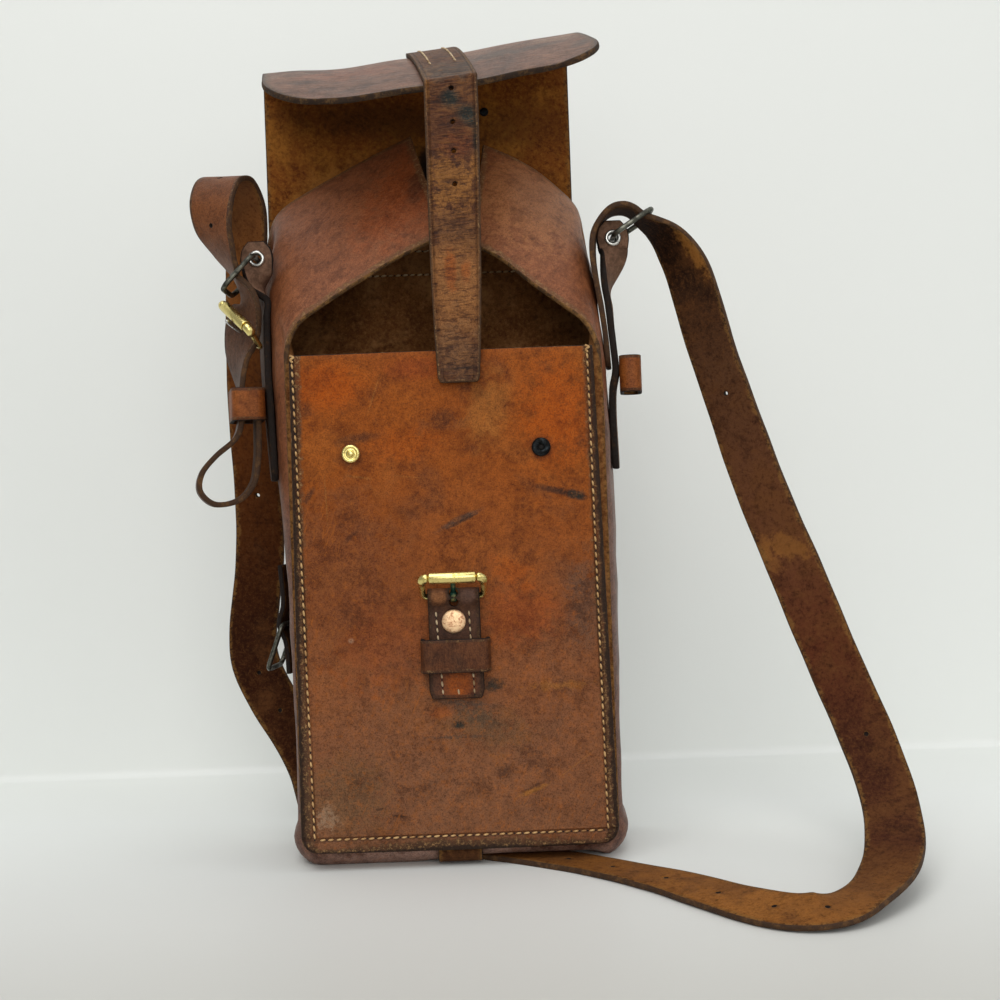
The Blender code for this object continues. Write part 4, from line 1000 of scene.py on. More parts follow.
def turned(profile: Sequence[tuple[float, float]], centre: Sequence[float],
           axis: Sequence[float], segments: int = 48) -> Shape:
    """Turn a profile of radius and height about an axis; ends at radius 0 close in a pole.

    Args:
        profile: radius and height of each ring, in order.
        centre: where height 0 lies.
        axis: direction of the height.
        segments: points round the axis.

    Returns:
        Points and faces. A profile that never reaches radius 0 is closed into a ring.
    """
    turn = np.array(Vector(axis).to_track_quat("Z", "Y").to_matrix())
    table = np.asarray(profile, float)
    angle = np.arange(segments) * 2 * math.pi / segments
    solid = table[0, 0] == 0
    body = table[1:-1] if solid else table
    local = xyz(body[:, :1] * np.cos(angle), body[:, :1] * np.sin(angle), body[:, 1:])
    local = local.reshape(-1, 3)
    number = np.arange(len(local)).reshape(len(body), segments)
    here, ahead = (number[:-1], number[1:]) if solid else (number, np.roll(number, -1, axis=0))
    faces = quads(here, ahead).tolist()
    if solid:
        local = np.concatenate([local, [(0, 0, table[0, 1]), (0, 0, table[-1, 1])]])
        for ring, pole in ((number[0], len(local) - 2), (number[-1], len(local) - 1)):
            fan = np.stack([ring, np.roll(ring, -1), np.full(segments, pole)], axis=-1)
            faces += fan.tolist()
    return local @ turn.T + np.asarray(centre, float), faces


def rounded_frame(centre: Sequence[float], side: Sequence[float], reach: Sequence[float],
                  span: float, length: float, corner: float, arc: int = 8) -> Array:
    """Rounded rectangle from the middle of its near bar: quarter circles at its corners.

    Args:
        centre: middle of the near bar.
        side: direction of that bar.
        reach: direction to the far bar.
        span: size along the side.
        length: size along the reach.
        corner: radius of the corners.
        arc: steps of each quarter circle.

    Returns:
        Points of a closed path.
    """
    places = ((span / 2 - corner, corner, -90), (span / 2 - corner, length - corner, 0),
              (-span / 2 + corner, length - corner, 90), (-span / 2 + corner, corner, 180))
    rows = []
    for across, ahead, begin in places:
        angle = np.radians(begin + 90 * np.arange(arc + 1) / arc)
        rows.append(np.outer(across + corner * np.cos(angle), side)
                    + np.outer(ahead + corner * np.sin(angle), reach))
    return np.concatenate(rows) + np.asarray(centre, float)


def denser(path: Array, pitch: float) -> Array:
    """Even points along a closed path.

    Args:
        path: its points.
        pitch: distance between the new ones.

    Returns:
        The new points.
    """
    ring = np.concatenate([path, path[:1]])
    run = distances(ring)
    places = np.linspace(0, run[-1], int(run[-1] / pitch), endpoint=False)
    return read_off(places, run, ring)


def cut(item: Thing, shapes: Sequence[Shape], material: Material) -> None:
    """Cut closed shapes out of a piece.

    Args:
        item: the piece.
        shapes: what goes, points and faces of each.
        material: finish of the new faces.
    """
    points, faces, shift = [], [], 0
    for shape_points, shape_faces in shapes:
        points.append(shape_points)
        faces += [[corner + shift for corner in face] for face in shape_faces]
        shift += len(shape_points)
    tool = new_object("tool", np.concatenate(points), faces, [material])
    change = item.modifiers.new("holes", "BOOLEAN")
    change.operation = "DIFFERENCE"
    change.solver = "EXACT"
    change.material_mode = "TRANSFER"
    change.object = tool
    graph = bpy.context.evaluated_depsgraph_get()
    mesh = bpy.data.meshes.new_from_object(item.evaluated_get(graph), depsgraph=graph)
    item.modifiers.clear()
    old = item.data
    item.data = mesh
    mesh.name = item.name
    bpy.data.meshes.remove(old)
    bpy.data.objects.remove(tool, do_unlink=True)


# Length of the cutters that leave a dark web, painted shade for the hole, in the middle of a strap
PIT_LENGTH = 2.1


def pits(centre: Array, way: Array, radius: float) -> list[Shape]:
    """Two cutters that punch a strap from both faces and leave a thin dark web between, painted shade for
    the inside of the hole.
    """
    return [pin(centre + s * way * STRAP_THICK / 2, way, radius, PIT_LENGTH, 12) for s in (-1, 1)]


def pin(centre: Sequence[float], axis: Sequence[float], radius: float, length: float,
        sides: int = 14) -> Shape:
    """Plain round cutter."""
    half = length / 2
    return turned([(0, -half), (radius, -half), (radius, half), (0, half)], centre, axis, sides)


@dataclass(frozen=True)
class Thread:
    """Hand stitches laid along a line on the leather.

    Fields: pitch between stitches, length and width of one, how far it stands up, its slant
    against the line in degrees, and the radius, top and depth of the dark disc of painted
    shade that stands for the hole between two.
    """

    pitch: float = 4.0
    length: float = 2.8
    width: float = 1.05
    stand: float = 0.28
    slant: float = 9.0
    hole: tuple[float, float, float] = (0.42, 0.07, 0.4)

    def lay(self, name: str, path: Array, out: Array | Sequence[float],
            materials: Sequence[Material]) -> Thing:
        """Stitches along a path, with a dark disc of painted shade for the hole between each pair.

        Each stitch is a rod whose radius follows a half circle along its length and whose
        middle bows up by a cosine, turned to the line at its place.

        Args:
            name: the piece's name.
            path: points of the line on the surface.
            out: the surface's outward direction, one for all points or one for each.
            materials: of the thread and of the holes.

        Returns:
            One object with all the stitches of the line.
        """
        out = np.broadcast_to(unit(np.asarray(out, float)), path.shape)
        run = distances(path)
        count = max(int(run[-1] / self.pitch), 1)
        middles = (np.arange(count) + 0.5) * run[-1] / count
        spots, ups = read_off(middles, run, path), unit(read_off(middles, run, out))
        ahead = read_off(middles + 0.4, run, path) - read_off(middles - 0.4, run, path)
        ahead = unit(ahead - ups * np.sum(ahead * ups, axis=-1, keepdims=True))
        axes = np.stack([ahead, np.cross(ups, ahead), ups], axis=1)
        rod, rod_faces = self.rod()
        turn = math.radians(self.slant)
        wobble = 1.0 + 0.08 * np.sin(2.3 * np.arange(count))[:, None, None]
        x = rod[:, 0] * math.cos(turn) - rod[:, 1] * math.sin(turn)
        y = rod[:, 0] * math.sin(turn) + rod[:, 1] * math.cos(turn)
        local = xyz(x, y, rod[:, 2])[None] * wobble
        stitches = (spots[:, None] + local @ axes).reshape(-1, 3)
        faces = self.repeat(rod_faces, len(rod), count, 0)
        # Dark discs of painted shade where the thread goes into the leather
        radius, top, depth = self.hole
        angle = np.arange(8) * math.pi / 4
        disc = xyz(radius * np.cos(angle), radius * np.sin(angle), top)
        disc = np.concatenate([disc, disc - np.array([0.0, 0.0, depth])])
        hole_faces = [list(range(8)), list(range(15, 7, -1))]
        hole_faces += [[k, 8 + k, 8 + (k + 1) % 8, (k + 1) % 8] for k in range(8)]
        ends = spots + ahead * self.pitch / 2
        holes = (ends[:, None] + disc[None] @ axes).reshape(-1, 3)
        both = faces + self.repeat(hole_faces, len(disc), count, len(stitches))
        slots = np.concatenate([np.zeros(len(faces)), np.ones(len(both) - len(faces))])
        return new_object(name, np.concatenate([stitches, holes]), both, materials, slots)

    def rod(self) -> Shape:
        """One stitch along X.

        Returns:
            Points and faces.
        """
        share = np.linspace(-1, 1, 7)
        swell = np.sqrt(np.clip(1 - (0.97 * share) ** 2, 0.02, 1))
        bow = self.stand * np.cos(share * math.pi / 2) * 1.3 - 0.12
        path = xyz(share * self.length / 2, 0.0, bow)
        return tube(path, np.array([0.0, 0.0, 1.0]), swell * self.width / 2, 6, False)

    @staticmethod
    def repeat(faces: list, size: int, count: int, shift: int) -> list:
        """The same faces for each copy."""
        starts = [shift + size * k for k in range(count)]
        return [[corner + start for corner in face] for start in starts for face in faces]


# Marks of wear on the front and on the closing strap, from the lowest layer up
PANEL_MARKS = (
    Mark(-59.1, 244.5, 22, 14, 0, Tone.ORANGE, 0.75, 0.35),
    Mark(21.3, 230, 12, 22, -18, Tone.GOLD, 0.5),
    Mark(55.2, 226, 20, 30, 0, Tone.ORANGE),
    Mark(-20, 214, 24, 10, 12, Tone.ORANGE, 0.35, 0.6),
    Mark(-12.6, 251.8, 22, 7, 0, Tone.RED, 0.55, 0.4),
    Mark(-2, 225.3, 13, 7, 10, Tone.DARK, 0.5, 0.8),
    Mark(-45, 217.4, 14, 3, 6, Tone.DARK, 0.6),
    Mark(-47.9, 209, 7.5, 7.5, 0, Tone.DARK, 0.5, 0.3),
    Mark(47.7, 210, 7, 7, 0, Tone.DARK, 0.5, 0.3),
    Mark(6.4, 175.3, 15, 1.9, 25, Tone.GREY, 0.85),
    Mark(7.4, 174.6, 10, 0.8, 25, Tone.DARK, 0.8, 0.4),
    Mark(57.6, 187, 17, 2.2, -15, Tone.DARK, 0.85),
    Mark(64.3, 185.4, 6, 2.8, -20, Tone.GREEN, 0.9),
    Mark(-69.9, 189.4, 6, 1.6, 55, Tone.DARK, 0.7, 0.4),
    Mark(66, 130.5, 12, 28, 0, Tone.GREY, 0.6, 0.7),
    Mark(-49.3, 168.3, 6, 1.6, 40, Tone.DARK, 0.6, 0.6),
    Mark(-35.1, 240.1, 13, 0.35, 71, Tone.GOLD, 0.6, 0.2),
    Mark(-61.2, 186.3, 17, 0.5, -88, Tone.GOLD, 0.6, 0.3),
    Mark(-43.5, 198, 6, 0.9, -9, Tone.GOLD, 0.6, 0.7),
    Mark(-20.6, 197.6, 9, 0.3, -7, Tone.GOLD, 0.5, 0.2),
    Mark(33.5, 126.6, 24, 17, 0, Tone.RED, 0.5, 0.6),
    Mark(31, 148, 14, 7, -30, Tone.ORANGE, 0.4, 0.6),
    Mark(19.4, 91.4, 6.5, 4, 0, Tone.GREEN, 0.85, 0.6),
    Mark(10, 76, 17, 6.5, -24, Tone.GREY, 0.7, 0.7),
    Mark(16, 70, 26, 13, -10, Tone.OLIVE, 0.45, 0.8),
    Mark(1.4, 72, 4, 2.2, 0, Tone.GREEN, 0.95, 0.4),
    Mark(4.8, 82.9, 19, 2, -7, Tone.GREY, 0.7, 0.6),
    Mark(0.2, 66, 22, 1.1, 0, Tone.GREY, 0.6, 0.6),
    Mark(-8, 78.5, 8, 3.5, 0, Tone.ORANGE, 0.35),
    Mark(53.8, 90.2, 16, 2.4, 2, Tone.GOLD, 0.55, 1),
    Mark(38.3, 38, 9, 1.6, 20, Tone.GOLD, 0.8),
    Mark(38.3, 40, 9, 0.9, 25, Tone.DARK, 0.5, 0.3),
    Mark(23.6, 47.6, 5.5, 4.5, 0, Tone.DARK, 0.6, 0.8),
    Mark(-56, 38, 26, 24, 0, Tone.OLIVE, 0.5, 0.6),
    Mark(-67.1, 26.8, 6, 6, 0, Tone.PALE, 0.4, 1.3),
    Mark(-30.1, 27.2, 4.5, 1, -6, Tone.DARK, 0.8, 0.3),
    Mark(-40, 31, 2.6, 0.8, 10, Tone.DARK, 0.7, 0.3),
    Mark(-52, 150, 34, 48, 0, Tone.BROWN, 0.55, 0.7),
    Mark(60.4, 50.7, 16, 0.3, 36, Tone.GOLD, 0.5, 0.2),
    Mark(-51.2, 116.1, 1.6, 1.4, 0, Tone.PALE, 0.7, 0.3),
    Mark(0, 11, 78, 5.5, 0, Tone.DARK, 0.55, 0.8),
    Mark(-30, 112, 34, 24, 20, Tone.RED, 0.25, 0.8),
)
STRAP_MARKS = (
    Mark(8, 290, 22, 44, 0, Tone.WARM, 0.7, 0.6),
    Mark(11, 362, 10, 9, 0, Tone.RED, 0.2, 0.7),
    Mark(8.4, 385, 6.6, 5.6, -30, Tone.GREEN, 0.98, 0.15),
    Mark(17.8, 376, 9, 6, -42, Tone.GREEN, 0.98, 0.15),
    Mark(21.6, 364, 3.2, 13, 0, Tone.GREEN, 0.9, 0.3),
    Mark(9, 342, 18, 13, 0, Tone.GOLD, 0.75, 0.9),
    Mark(19.5, 349, 3.4, 9, 0, Tone.GOLD, 0.85),
    Mark(-3.6, 394, 3.2, 14, 0, Tone.GOLD, 0.85, 0.6),
    Mark(19.8, 398, 3, 5, 0, Tone.GOLD, 0.75, 0.6),
    Mark(8, 318, 16, 9, 0, Tone.DARK, 0.35, 0.9),
    Mark(6, 300, 3.4, 12, 0, Tone.ORANGE, 0.55, 0.6),
    Mark(13, 299, 3, 6, 0, Tone.ORANGE, 0.45, 0.6),
    Mark(8, 258, 14, 20, 0, Tone.GREY, 0.35, 0.9),
    Mark(8, 250.5, 12, 0.8, 3, Tone.DARK, 0.9, 0.1),
    Mark(8, 402, 24, 10, 0, Tone.GREY, 0.75, 0.7),
)

# Finishes; the fields are those of the classes above
HIDES = (
    Hide("panel_hide", (0.3, 0.072, 0.005), (0.18, 0.052, 0.012), (0.37, 0.105, 0.013),
         gloss=0.13, border=(0.055, 0.028, 0.015), border_width=0.006,
         border_strength=0.9, fuzz=0.85, burnish=0.9, creases=0.2, marks=PANEL_MARKS,
         low=(0.212, 0.1, 0.052), low_span=(0.01, 0.225)),
    Hide("back_hide", (0.15, 0.05, 0.018), (0.09, 0.03, 0.012), (0.21, 0.08, 0.025),
         border_width=0.006, fuzz=0.5),
    Hide("wing_hide", (0.27, 0.09, 0.034), (0.16, 0.05, 0.018), (0.33, 0.12, 0.046),
         rough=0.48, gloss=0.3, border=(0.13, 0.055, 0.02), fuzz=0.8,
         creases=0.5, crease_way=(0.9, 2.0, 4.0), crease_turn=32.0, scratches=0.3,
         marks=(Mark(-20, 348, 24, 42, -30, Tone.RUST, 0.75, 0.6),
                Mark(-12, 352, 6, 14, -20, Tone.DARK, 0.6, 0.6),
                Mark(52, 346, 42, 40, 0, Tone.TAN, 0.85),
                # Painted grey sheen down the right side
                Mark(90, 160, 12, 130, 0, Tone.GREY_SHEEN, 0.85, 0.4),
                Mark(-94, 190, 11, 140, 0, Tone.DARK, 0.35, 0.6),
                # Painted reflection of the pale floor on the rounded bottom
                Mark(0, 3, 90, 9, 0, Tone.FLOOR_REFLECTION, 0.9, 0.3)),
         low=(0.125, 0.05, 0.032), low_span=(0.1, 0.26)),
    Hide("lid_hide", (0.16, 0.064, 0.032), (0.075, 0.03, 0.017), (0.24, 0.11, 0.06),
         patches=1.0, rough=0.42, gloss=0.42, burnish=0.6, border=(0.07, 0.032, 0.016),
         border_width=0.005, fuzz=0.5, creases=0.8, crease_way=(4.0, 1.0, 1.0),
         marks=(Mark(-45, 412, 36, 7, 6, Tone.RUST, 0.45, 0.7),
                Mark(-66, 404, 12, 3, 4, Tone.DARK, 0.7, 0.8),
                Mark(32, 418, 16, 5, 12, Tone.GREY, 0.8, 0.7),
                Mark(52, 421, 24, 3, 14, Tone.DARK, 0.75, 0.8),
                Mark(66, 430, 14, 5, 10, Tone.PALE, 0.25, 0.8),
                Mark(78, 420, 10, 3, 30, Tone.DARK, 0.7, 0.6))),
    Hide("closing_hide", (0.1, 0.031, 0.009), (0.05, 0.018, 0.008),
         (0.19, 0.078, 0.022), border=(0.08, 0.036, 0.014), border_width=0.0012,
         fuzz=0.7, burnish=0.3, creases=1.4, crease_way=(3.0, 1.0, 0.6), crease_turn=-4.0,
         marks=STRAP_MARKS),
    Hide("shoulder_hide", (0.1, 0.035, 0.012), (0.05, 0.017, 0.006), (0.12, 0.042, 0.012),
         patches=0.35, border=(0.035, 0.018, 0.01), border_width=0.0016, fuzz=0.4, creases=0.5,
         stations=((0.0, (0.09, 0.036, 0.016)), (0.9, (0.025, 0.008, 0.001)),
                   (1.0, (0.035, 0.01, 0.001)), (1.15, (0.05, 0.015, 0.002)),
                   (1.24, (0.2, 0.066, 0.02)), (1.31, (0.23, 0.078, 0.025)),
                   (1.36, (0.12, 0.052, 0.027)), (1.53, (0.1, 0.048, 0.026)))),
    Hide("keeper_hide", (0.25, 0.068, 0.012), (0.15, 0.04, 0.01), (0.31, 0.095, 0.018),
         border=(0.05, 0.02, 0.01), border_width=0.0018, creases=0.4, scratches=0.3),
    Hide("tab_hide", (0.19, 0.085, 0.044), (0.1, 0.045, 0.024), (0.25, 0.12, 0.065),
         border=(0.07, 0.034, 0.02), border_width=0.0025, creases=0.5, scratches=0.3),
    Hide("band_hide", (0.115, 0.037, 0.012), (0.065, 0.024, 0.01),
         (0.17, 0.06, 0.02), border=(0.05, 0.02, 0.01), border_width=0.0016,
         fuzz=0.5, creases=0.8, crease_way=(0.5, 1.0, 3.0), scratches=0.2),
    Hide("chape_hide", (0.07, 0.027, 0.013), (0.035, 0.016, 0.009),
         (0.11, 0.045, 0.02), border=(0.035, 0.014, 0.007), border_width=0.002,
         fuzz=0.2, creases=0.4, scratches=0.2,
         marks=(Mark(1.2, 93, 15, 11, 0, Tone.BROWN, 0.85, 0.3),
                Mark(2.2, 93, 8.8, 11, 0, Tone.FOOT, 0.95, 0.1),
                # Painted light on the left of the chape's top and a painted grey sheen on its right
                Mark(-6.5, 137.5, 5.6, 5, 0, Tone.TAN, 0.85, 0.3),
                Mark(8.6, 137, 5.2, 5, 0, Tone.GREY_SHEEN, 0.45, 0.3),
                # Painted shade in and round the slot; the verdigris at its top is real
                Mark(1.2, 136.5, 4, 8.5, 0, Tone.DARK, 0.95, 0.2),
                Mark(1.2, 140, 3, 3.4, 0, Tone.VERDIGRIS, 0.95, 0.3))),
)
FLESHES = (
    Flesh("inside_flesh", (0.17, 0.062, 0.016), (0.36, 0.17, 0.06)),
    Flesh("lid_flesh", (0.18, 0.054, 0.008), (0.33, 0.132, 0.02),
          wrinkle_way=(1.0, 1.0, 3.2), wrinkle_turn=-55.0, wrinkles=0.4,
          # Painted shade under the flap
          marks=(Mark(-25, 398, 75, 14, -4, Tone.SHADE, 0.6),
                 Mark(-66, 360, 26, 14, 28, Tone.NAP, 0.7, 0.7),
                 # Painted shadow in the gap between the left wing and the strap
                 Mark(-7, 374, 9, 13, 0, Tone.BLACK, 0.92, 0.3),
                 Mark(-4, 355, 9, 24, 8, Tone.BLACK, 0.98, 0.15),
                 # Painted shade under the right of the flap
                 Mark(48, 392, 40, 16, 0, Tone.SHADE, 0.35, 0.7))),
    Flesh("strap_flesh", (0.07, 0.026, 0.009), (0.13, 0.052, 0.016)),
    Flesh("shoulder_flesh", (0.07, 0.026, 0.009), (0.12, 0.045, 0.013),
          stations=((0.0, (0.085, 0.04, 0.02)), (0.11, (0.022, 0.008, 0.003)),
                    (0.14, (0.012, 0.004, 0.001)), (0.2, (0.1, 0.042, 0.018)),
                    (0.3, (0.115, 0.04, 0.016)), (0.35, (0.09, 0.023, 0.008)),
                    (0.41, (0.055, 0.016, 0.006)), (0.47, (0.055, 0.015, 0.006)),
                    (0.53, (0.23, 0.088, 0.018)), (0.6, (0.3, 0.115, 0.022)),
                    (0.9, (0.034, 0.008, 0.001)), (1.0, (0.034, 0.008, 0.001)),
                    (1.14, (0.13, 0.035, 0.004)), (1.2, (0.26, 0.088, 0.018)),
                    (1.35, (0.1, 0.052, 0.028)), (1.53, (0.1, 0.052, 0.028))),
          marks=(Mark(130.5, 315.5, 4.4, 27, 27, Tone.NAP, 0.7, 0.8),
                 Mark(172, 154, 14, 6, -12, Tone.NAP, 0.34, 1),
                 Mark(168, 146, 5, 9, 16, Tone.NAP, 0.24, 1))),
)
RIMS = (
    Rim("panel_rim", (0.02, 0.011, 0.007), (0.26, 0.14, 0.06), 0.4),
    Rim("wing_rim", (0.05, 0.024, 0.011), (0.28, 0.14, 0.045), 0.6),
    Rim("lid_rim", (0.028, 0.016, 0.01), (0.15, 0.08, 0.033), 0.5),
    Rim("strap_rim", (0.05, 0.025, 0.013), (0.15, 0.075, 0.03), 0.5),
    Rim("tab_rim", (0.1, 0.052, 0.03), (0.22, 0.12, 0.075), 0.7),
    Rim("dark_rim", (0.014, 0.009, 0.007), (0.09, 0.045, 0.02), 0.3),
)
METALS = (
    Metal("brass", (0.8, 0.66, 0.25), (0.46, 0.36, 0.1), 0.22, 0.24),
    Metal("old_brass", (0.2, 0.17, 0.07), (0.02, 0.075, 0.055), 0.6, 0.42),
    Metal("copper", (1.0, 0.7, 0.42), (0.5, 0.2, 0.1), 0.3, 0.5, 620.0),
    Metal("dark_steel", (0.16, 0.16, 0.13), (0.055, 0.055, 0.045), 0.5, 0.34),
    Metal("steel", (0.6, 0.6, 0.57), (0.25, 0.24, 0.22), 0.3, 0.26),
    Metal("black_iron", (0.03, 0.035, 0.038), (0.012, 0.012, 0.012), 0.5, 0.4),
)


@dataclass
class Workshop:
    """Every finish of the bag, made once, and the work that is done with them."""

    made: dict = field(default_factory=dict)

    def stock(self) -> None:
        """Make the materials of all pieces."""
        for looks, make in ((HIDES, hide_material), (FLESHES, flesh_material),
                            (RIMS, rim_material), (METALS, metal_material)):
            self.made |= {look.name: make(look) for look in looks}
        for name, light, dark in (("thread", (0.58, 0.36, 0.15), (0.3, 0.14, 0.04)),
                                  ("pale_thread", (0.62, 0.48, 0.3), (0.3, 0.18, 0.08))):
            self.made[name] = thread_material(name, light, dark)
        # Painted shade for the stitch holes and for the hole in the snap socket
        self.made["hole"] = hole_shade_material("hole", (0.006, 0.004, 0.003), 0.9)
        log.info("%d finishes made", len(self.made))

    def wall(self, grain: str, flesh: str, rim: str) -> list[Material]:
        """The three materials of a wall of leather."""
        return [self.made[grain], self.made[flesh], self.made[rim]]

    def fit(self, name: str, shape: Shape, look: str, slot: str, *nodes: str,
            body: str = "bag") -> None:
        """Make a piece in one finish, and seat it."""
        seat(new_object(name, *shape, [self.made[look]]), slot, *nodes, body=body)

    def punch(self, item: Thing, shapes: Sequence[Shape]) -> None:
        """Cut holes, dark inside."""
        cut(item, shapes, self.made["dark_rim"])

    def sew(self, name: str, path: Array, out: Array | Sequence[float], slot: str,
            thread: str = "pale_thread", hand: Thread = Thread()) -> None:
        """Lay stitches along a line, and seat them."""
        seat(hand.lay(name, path, out, [self.made[thread], self.made["hole"]]), slot)


# Points of a straight stitch line before it is divided, and directions out of the bag
LINE_POINTS = 60
TO_FRONT = (0.0, -1.0, 0.0)
TO_BACK = (0.0, 1.0, 0.0)


def corner_pull(height: Array, radius: float) -> Array:
    """How far a rounded corner pulls the side in: the radius less the circle's half chord."""
    rise = np.clip(radius - height, 0, radius)
    return radius - np.sqrt(radius ** 2 - rise ** 2)


def panel_rows(top: float) -> Array:
    """Heights of a panel's rows: close together round its corners, then even."""
    arc = PANEL_BOTTOM + PANEL_CORNER * (1 - np.cos(np.radians(np.arange(0, 90, 9))))
    return np.concatenate([arc, np.linspace(PANEL_BOTTOM + PANEL_CORNER, top, 90)])


def panel_face_y(x: Array | float, z: Array | float) -> Array:
    """Outer face of the front: a crown that fades as the root of a parabola to the edges.

    Args:
        x: across.
        z: height.

    Returns:
        The face's Y.
    """
    wide = np.clip(1 - (np.asarray(x) / PANEL_HALF_BOTTOM) ** 2, 0, 1)
    share = np.clip((np.asarray(z) - PANEL_BOTTOM) / (PANEL_TOP - PANEL_BOTTOM), 0, 1)
    return FRONT_Y - PANEL_BULGE * wide * np.sqrt(4 * share * (1 - share))


@dataclass
class FrontPanel:
    """The front: one thick hide, sewn round three sides.

    Fields: inset of the stitch line at the top and at the bottom of each side, height of
    the bottom line, and where the stitches start below the top edge.
    """

    shop: Workshop
    left_line: tuple[float, float] = (-76.0, -73.2)
    right_line: tuple[float, float] = (72.5, 74.4)
    bottom_line: float = 16.5
    start: float = 257.0

    def grid(self) -> Array:
        """Outer face: height rows by width columns on the crowned panel.

        Returns:
            Rows by columns by three.
        """
        z = panel_rows(PANEL_TOP)
        share = (z - PANEL_BOTTOM) / (PANEL_TOP - PANEL_BOTTOM)
        half = PANEL_HALF_BOTTOM + (PANEL_HALF_TOP - PANEL_HALF_BOTTOM) * share
        half = half - corner_pull(z - PANEL_BOTTOM, PANEL_CORNER) - 0.5
        place = np.linspace(-1, 1, 61)
        place = 0.75 * place + 0.25 * np.sin(place * math.pi / 2)
        x = half[:, None] * place - share[:, None]
        return xyz(x, panel_face_y(x, z[:, None]), z[:, None])

    def line_x(self, z: Array, ends: tuple[float, float]) -> Array:
        """X of a side stitch line at a height."""
        share = (self.start - z) / (self.start - self.bottom_line)
        return ends[0] + (ends[1] - ends[0]) * share

    def build(self) -> None:
        """The panel, its stitches and the knots at the top corners."""
        outer = self.grid()
        x, z = outer[..., 0], outer[..., 2]
        seam = np.minimum.reduce([
            np.abs(x - self.line_x(z, self.left_line)),
            np.abs(x - self.line_x(z, self.right_line)),
            np.abs(z - self.bottom_line) + 0 * x])
        inside = np.minimum.reduce([x + 78, 78 - x, z - 8])
        rise = 0.35 * wave(outer, 70.0) * np.clip(inside / 30, 0, 1)
        outer[..., 1] += rise
        mid = outer + np.array([0.0, PANEL_THICK / 2, 0.0])
        item = leather("front_hide", mid, PANEL_THICK,
                       self.shop.wall("panel_hide", "inside_flesh", "panel_rim"),
                       flip=True, seam=seam, borders=("first", "left", "right"))
        seat(item, "tan_leather", "front_panel")
        self.sew()

    def sew(self) -> None:
        """Stitches down the sides and along the bottom, a little above the face."""
        z = np.linspace(self.start, self.bottom_line, LINE_POINTS)
        low = np.linspace(self.left_line[1] + 2, self.right_line[1] - 2, LINE_POINTS)
        for name, x, height in (("left", self.line_x(z, self.left_line), z),
                                ("right", self.line_x(z, self.right_line), z),
                                ("bottom", low, self.bottom_line)):
            self.shop.sew(f"front_stitches_{name}", xyz(x, panel_face_y(x, height), height),
                          TO_FRONT, "tan_leather", "thread")
        for name, x in (("front_knot_left", self.left_line[0]), ("front_knot_right", self.right_line[0])):
            rows = np.array([(x - 0.9, FRONT_Y, 260.4), (x + 1.0, FRONT_Y, 259.4),
                             (x - 0.6, FRONT_Y, 258.3), (x + 0.4, FRONT_Y, 256.9)])
            rows[:, 1] -= np.array([0.1, 0.5, 0.6, 0.2])
            knot = tube(smooth_rows(rows, 6), TO_FRONT, 0.55, 8, False)
            self.shop.fit(name, knot, "thread", "tan_leather")


@dataclass
class BackPanel:
    """The back, a flat hide whose sides follow the gusset's back edge."""

    shop: Workshop
    inset: float = 5.0
    stitch_top: float = 303.0

    def sides(self, z: Array) -> tuple[Array, Array]:
        """Left and right edge, from the gusset's sections.

        Args:
            z: heights.

        Returns:
            X of both edges at each height.
        """
        found = []
        for table in (GUSSET_LEFT, GUSSET_RIGHT):
            rows = np.array(sorted((row[3], row[2]) for row in table[5:]))
            found.append(np.interp(z, rows[:, 0], rows[:, 1]))
        return found[0], found[1]

    def build(self) -> None:
        """The panel and the stitches round it, seen from behind."""
        z = panel_rows(BACK_TOP)
        left, right = self.sides(z)
        pull = corner_pull(z - PANEL_BOTTOM, PANEL_CORNER) + 0.5
        place = np.linspace(0, 1, 49)
        x = (left + pull)[:, None] + (right - left - 2 * pull)[:, None] * place
        mid = xyz(x, BACK_Y - PANEL_THICK / 2, z[:, None])
        near = np.minimum(side_distance(mid), border_distances(mid)["first"])
        item = leather("back_hide", mid, PANEL_THICK,
                       self.shop.wall("back_hide", "inside_flesh", "panel_rim"),
                       seam=np.abs(near - self.inset))
        seat(item, "brown_leather", "back_panel")
        z = np.linspace(PANEL_BOTTOM + self.inset, self.stitch_top, LINE_POINTS)
        left, right = self.sides(z)
        low = np.linspace(left[0] + self.inset + 2, right[0] - self.inset - 2, LINE_POINTS)
        for name, x, height in (("left", left + self.inset, z), ("right", right - self.inset, z),
                                ("bottom", low, z[0])):
            self.shop.sew(f"back_stitches_{name}", xyz(x, BACK_Y, height), TO_BACK,
                          "brown_leather", "thread")


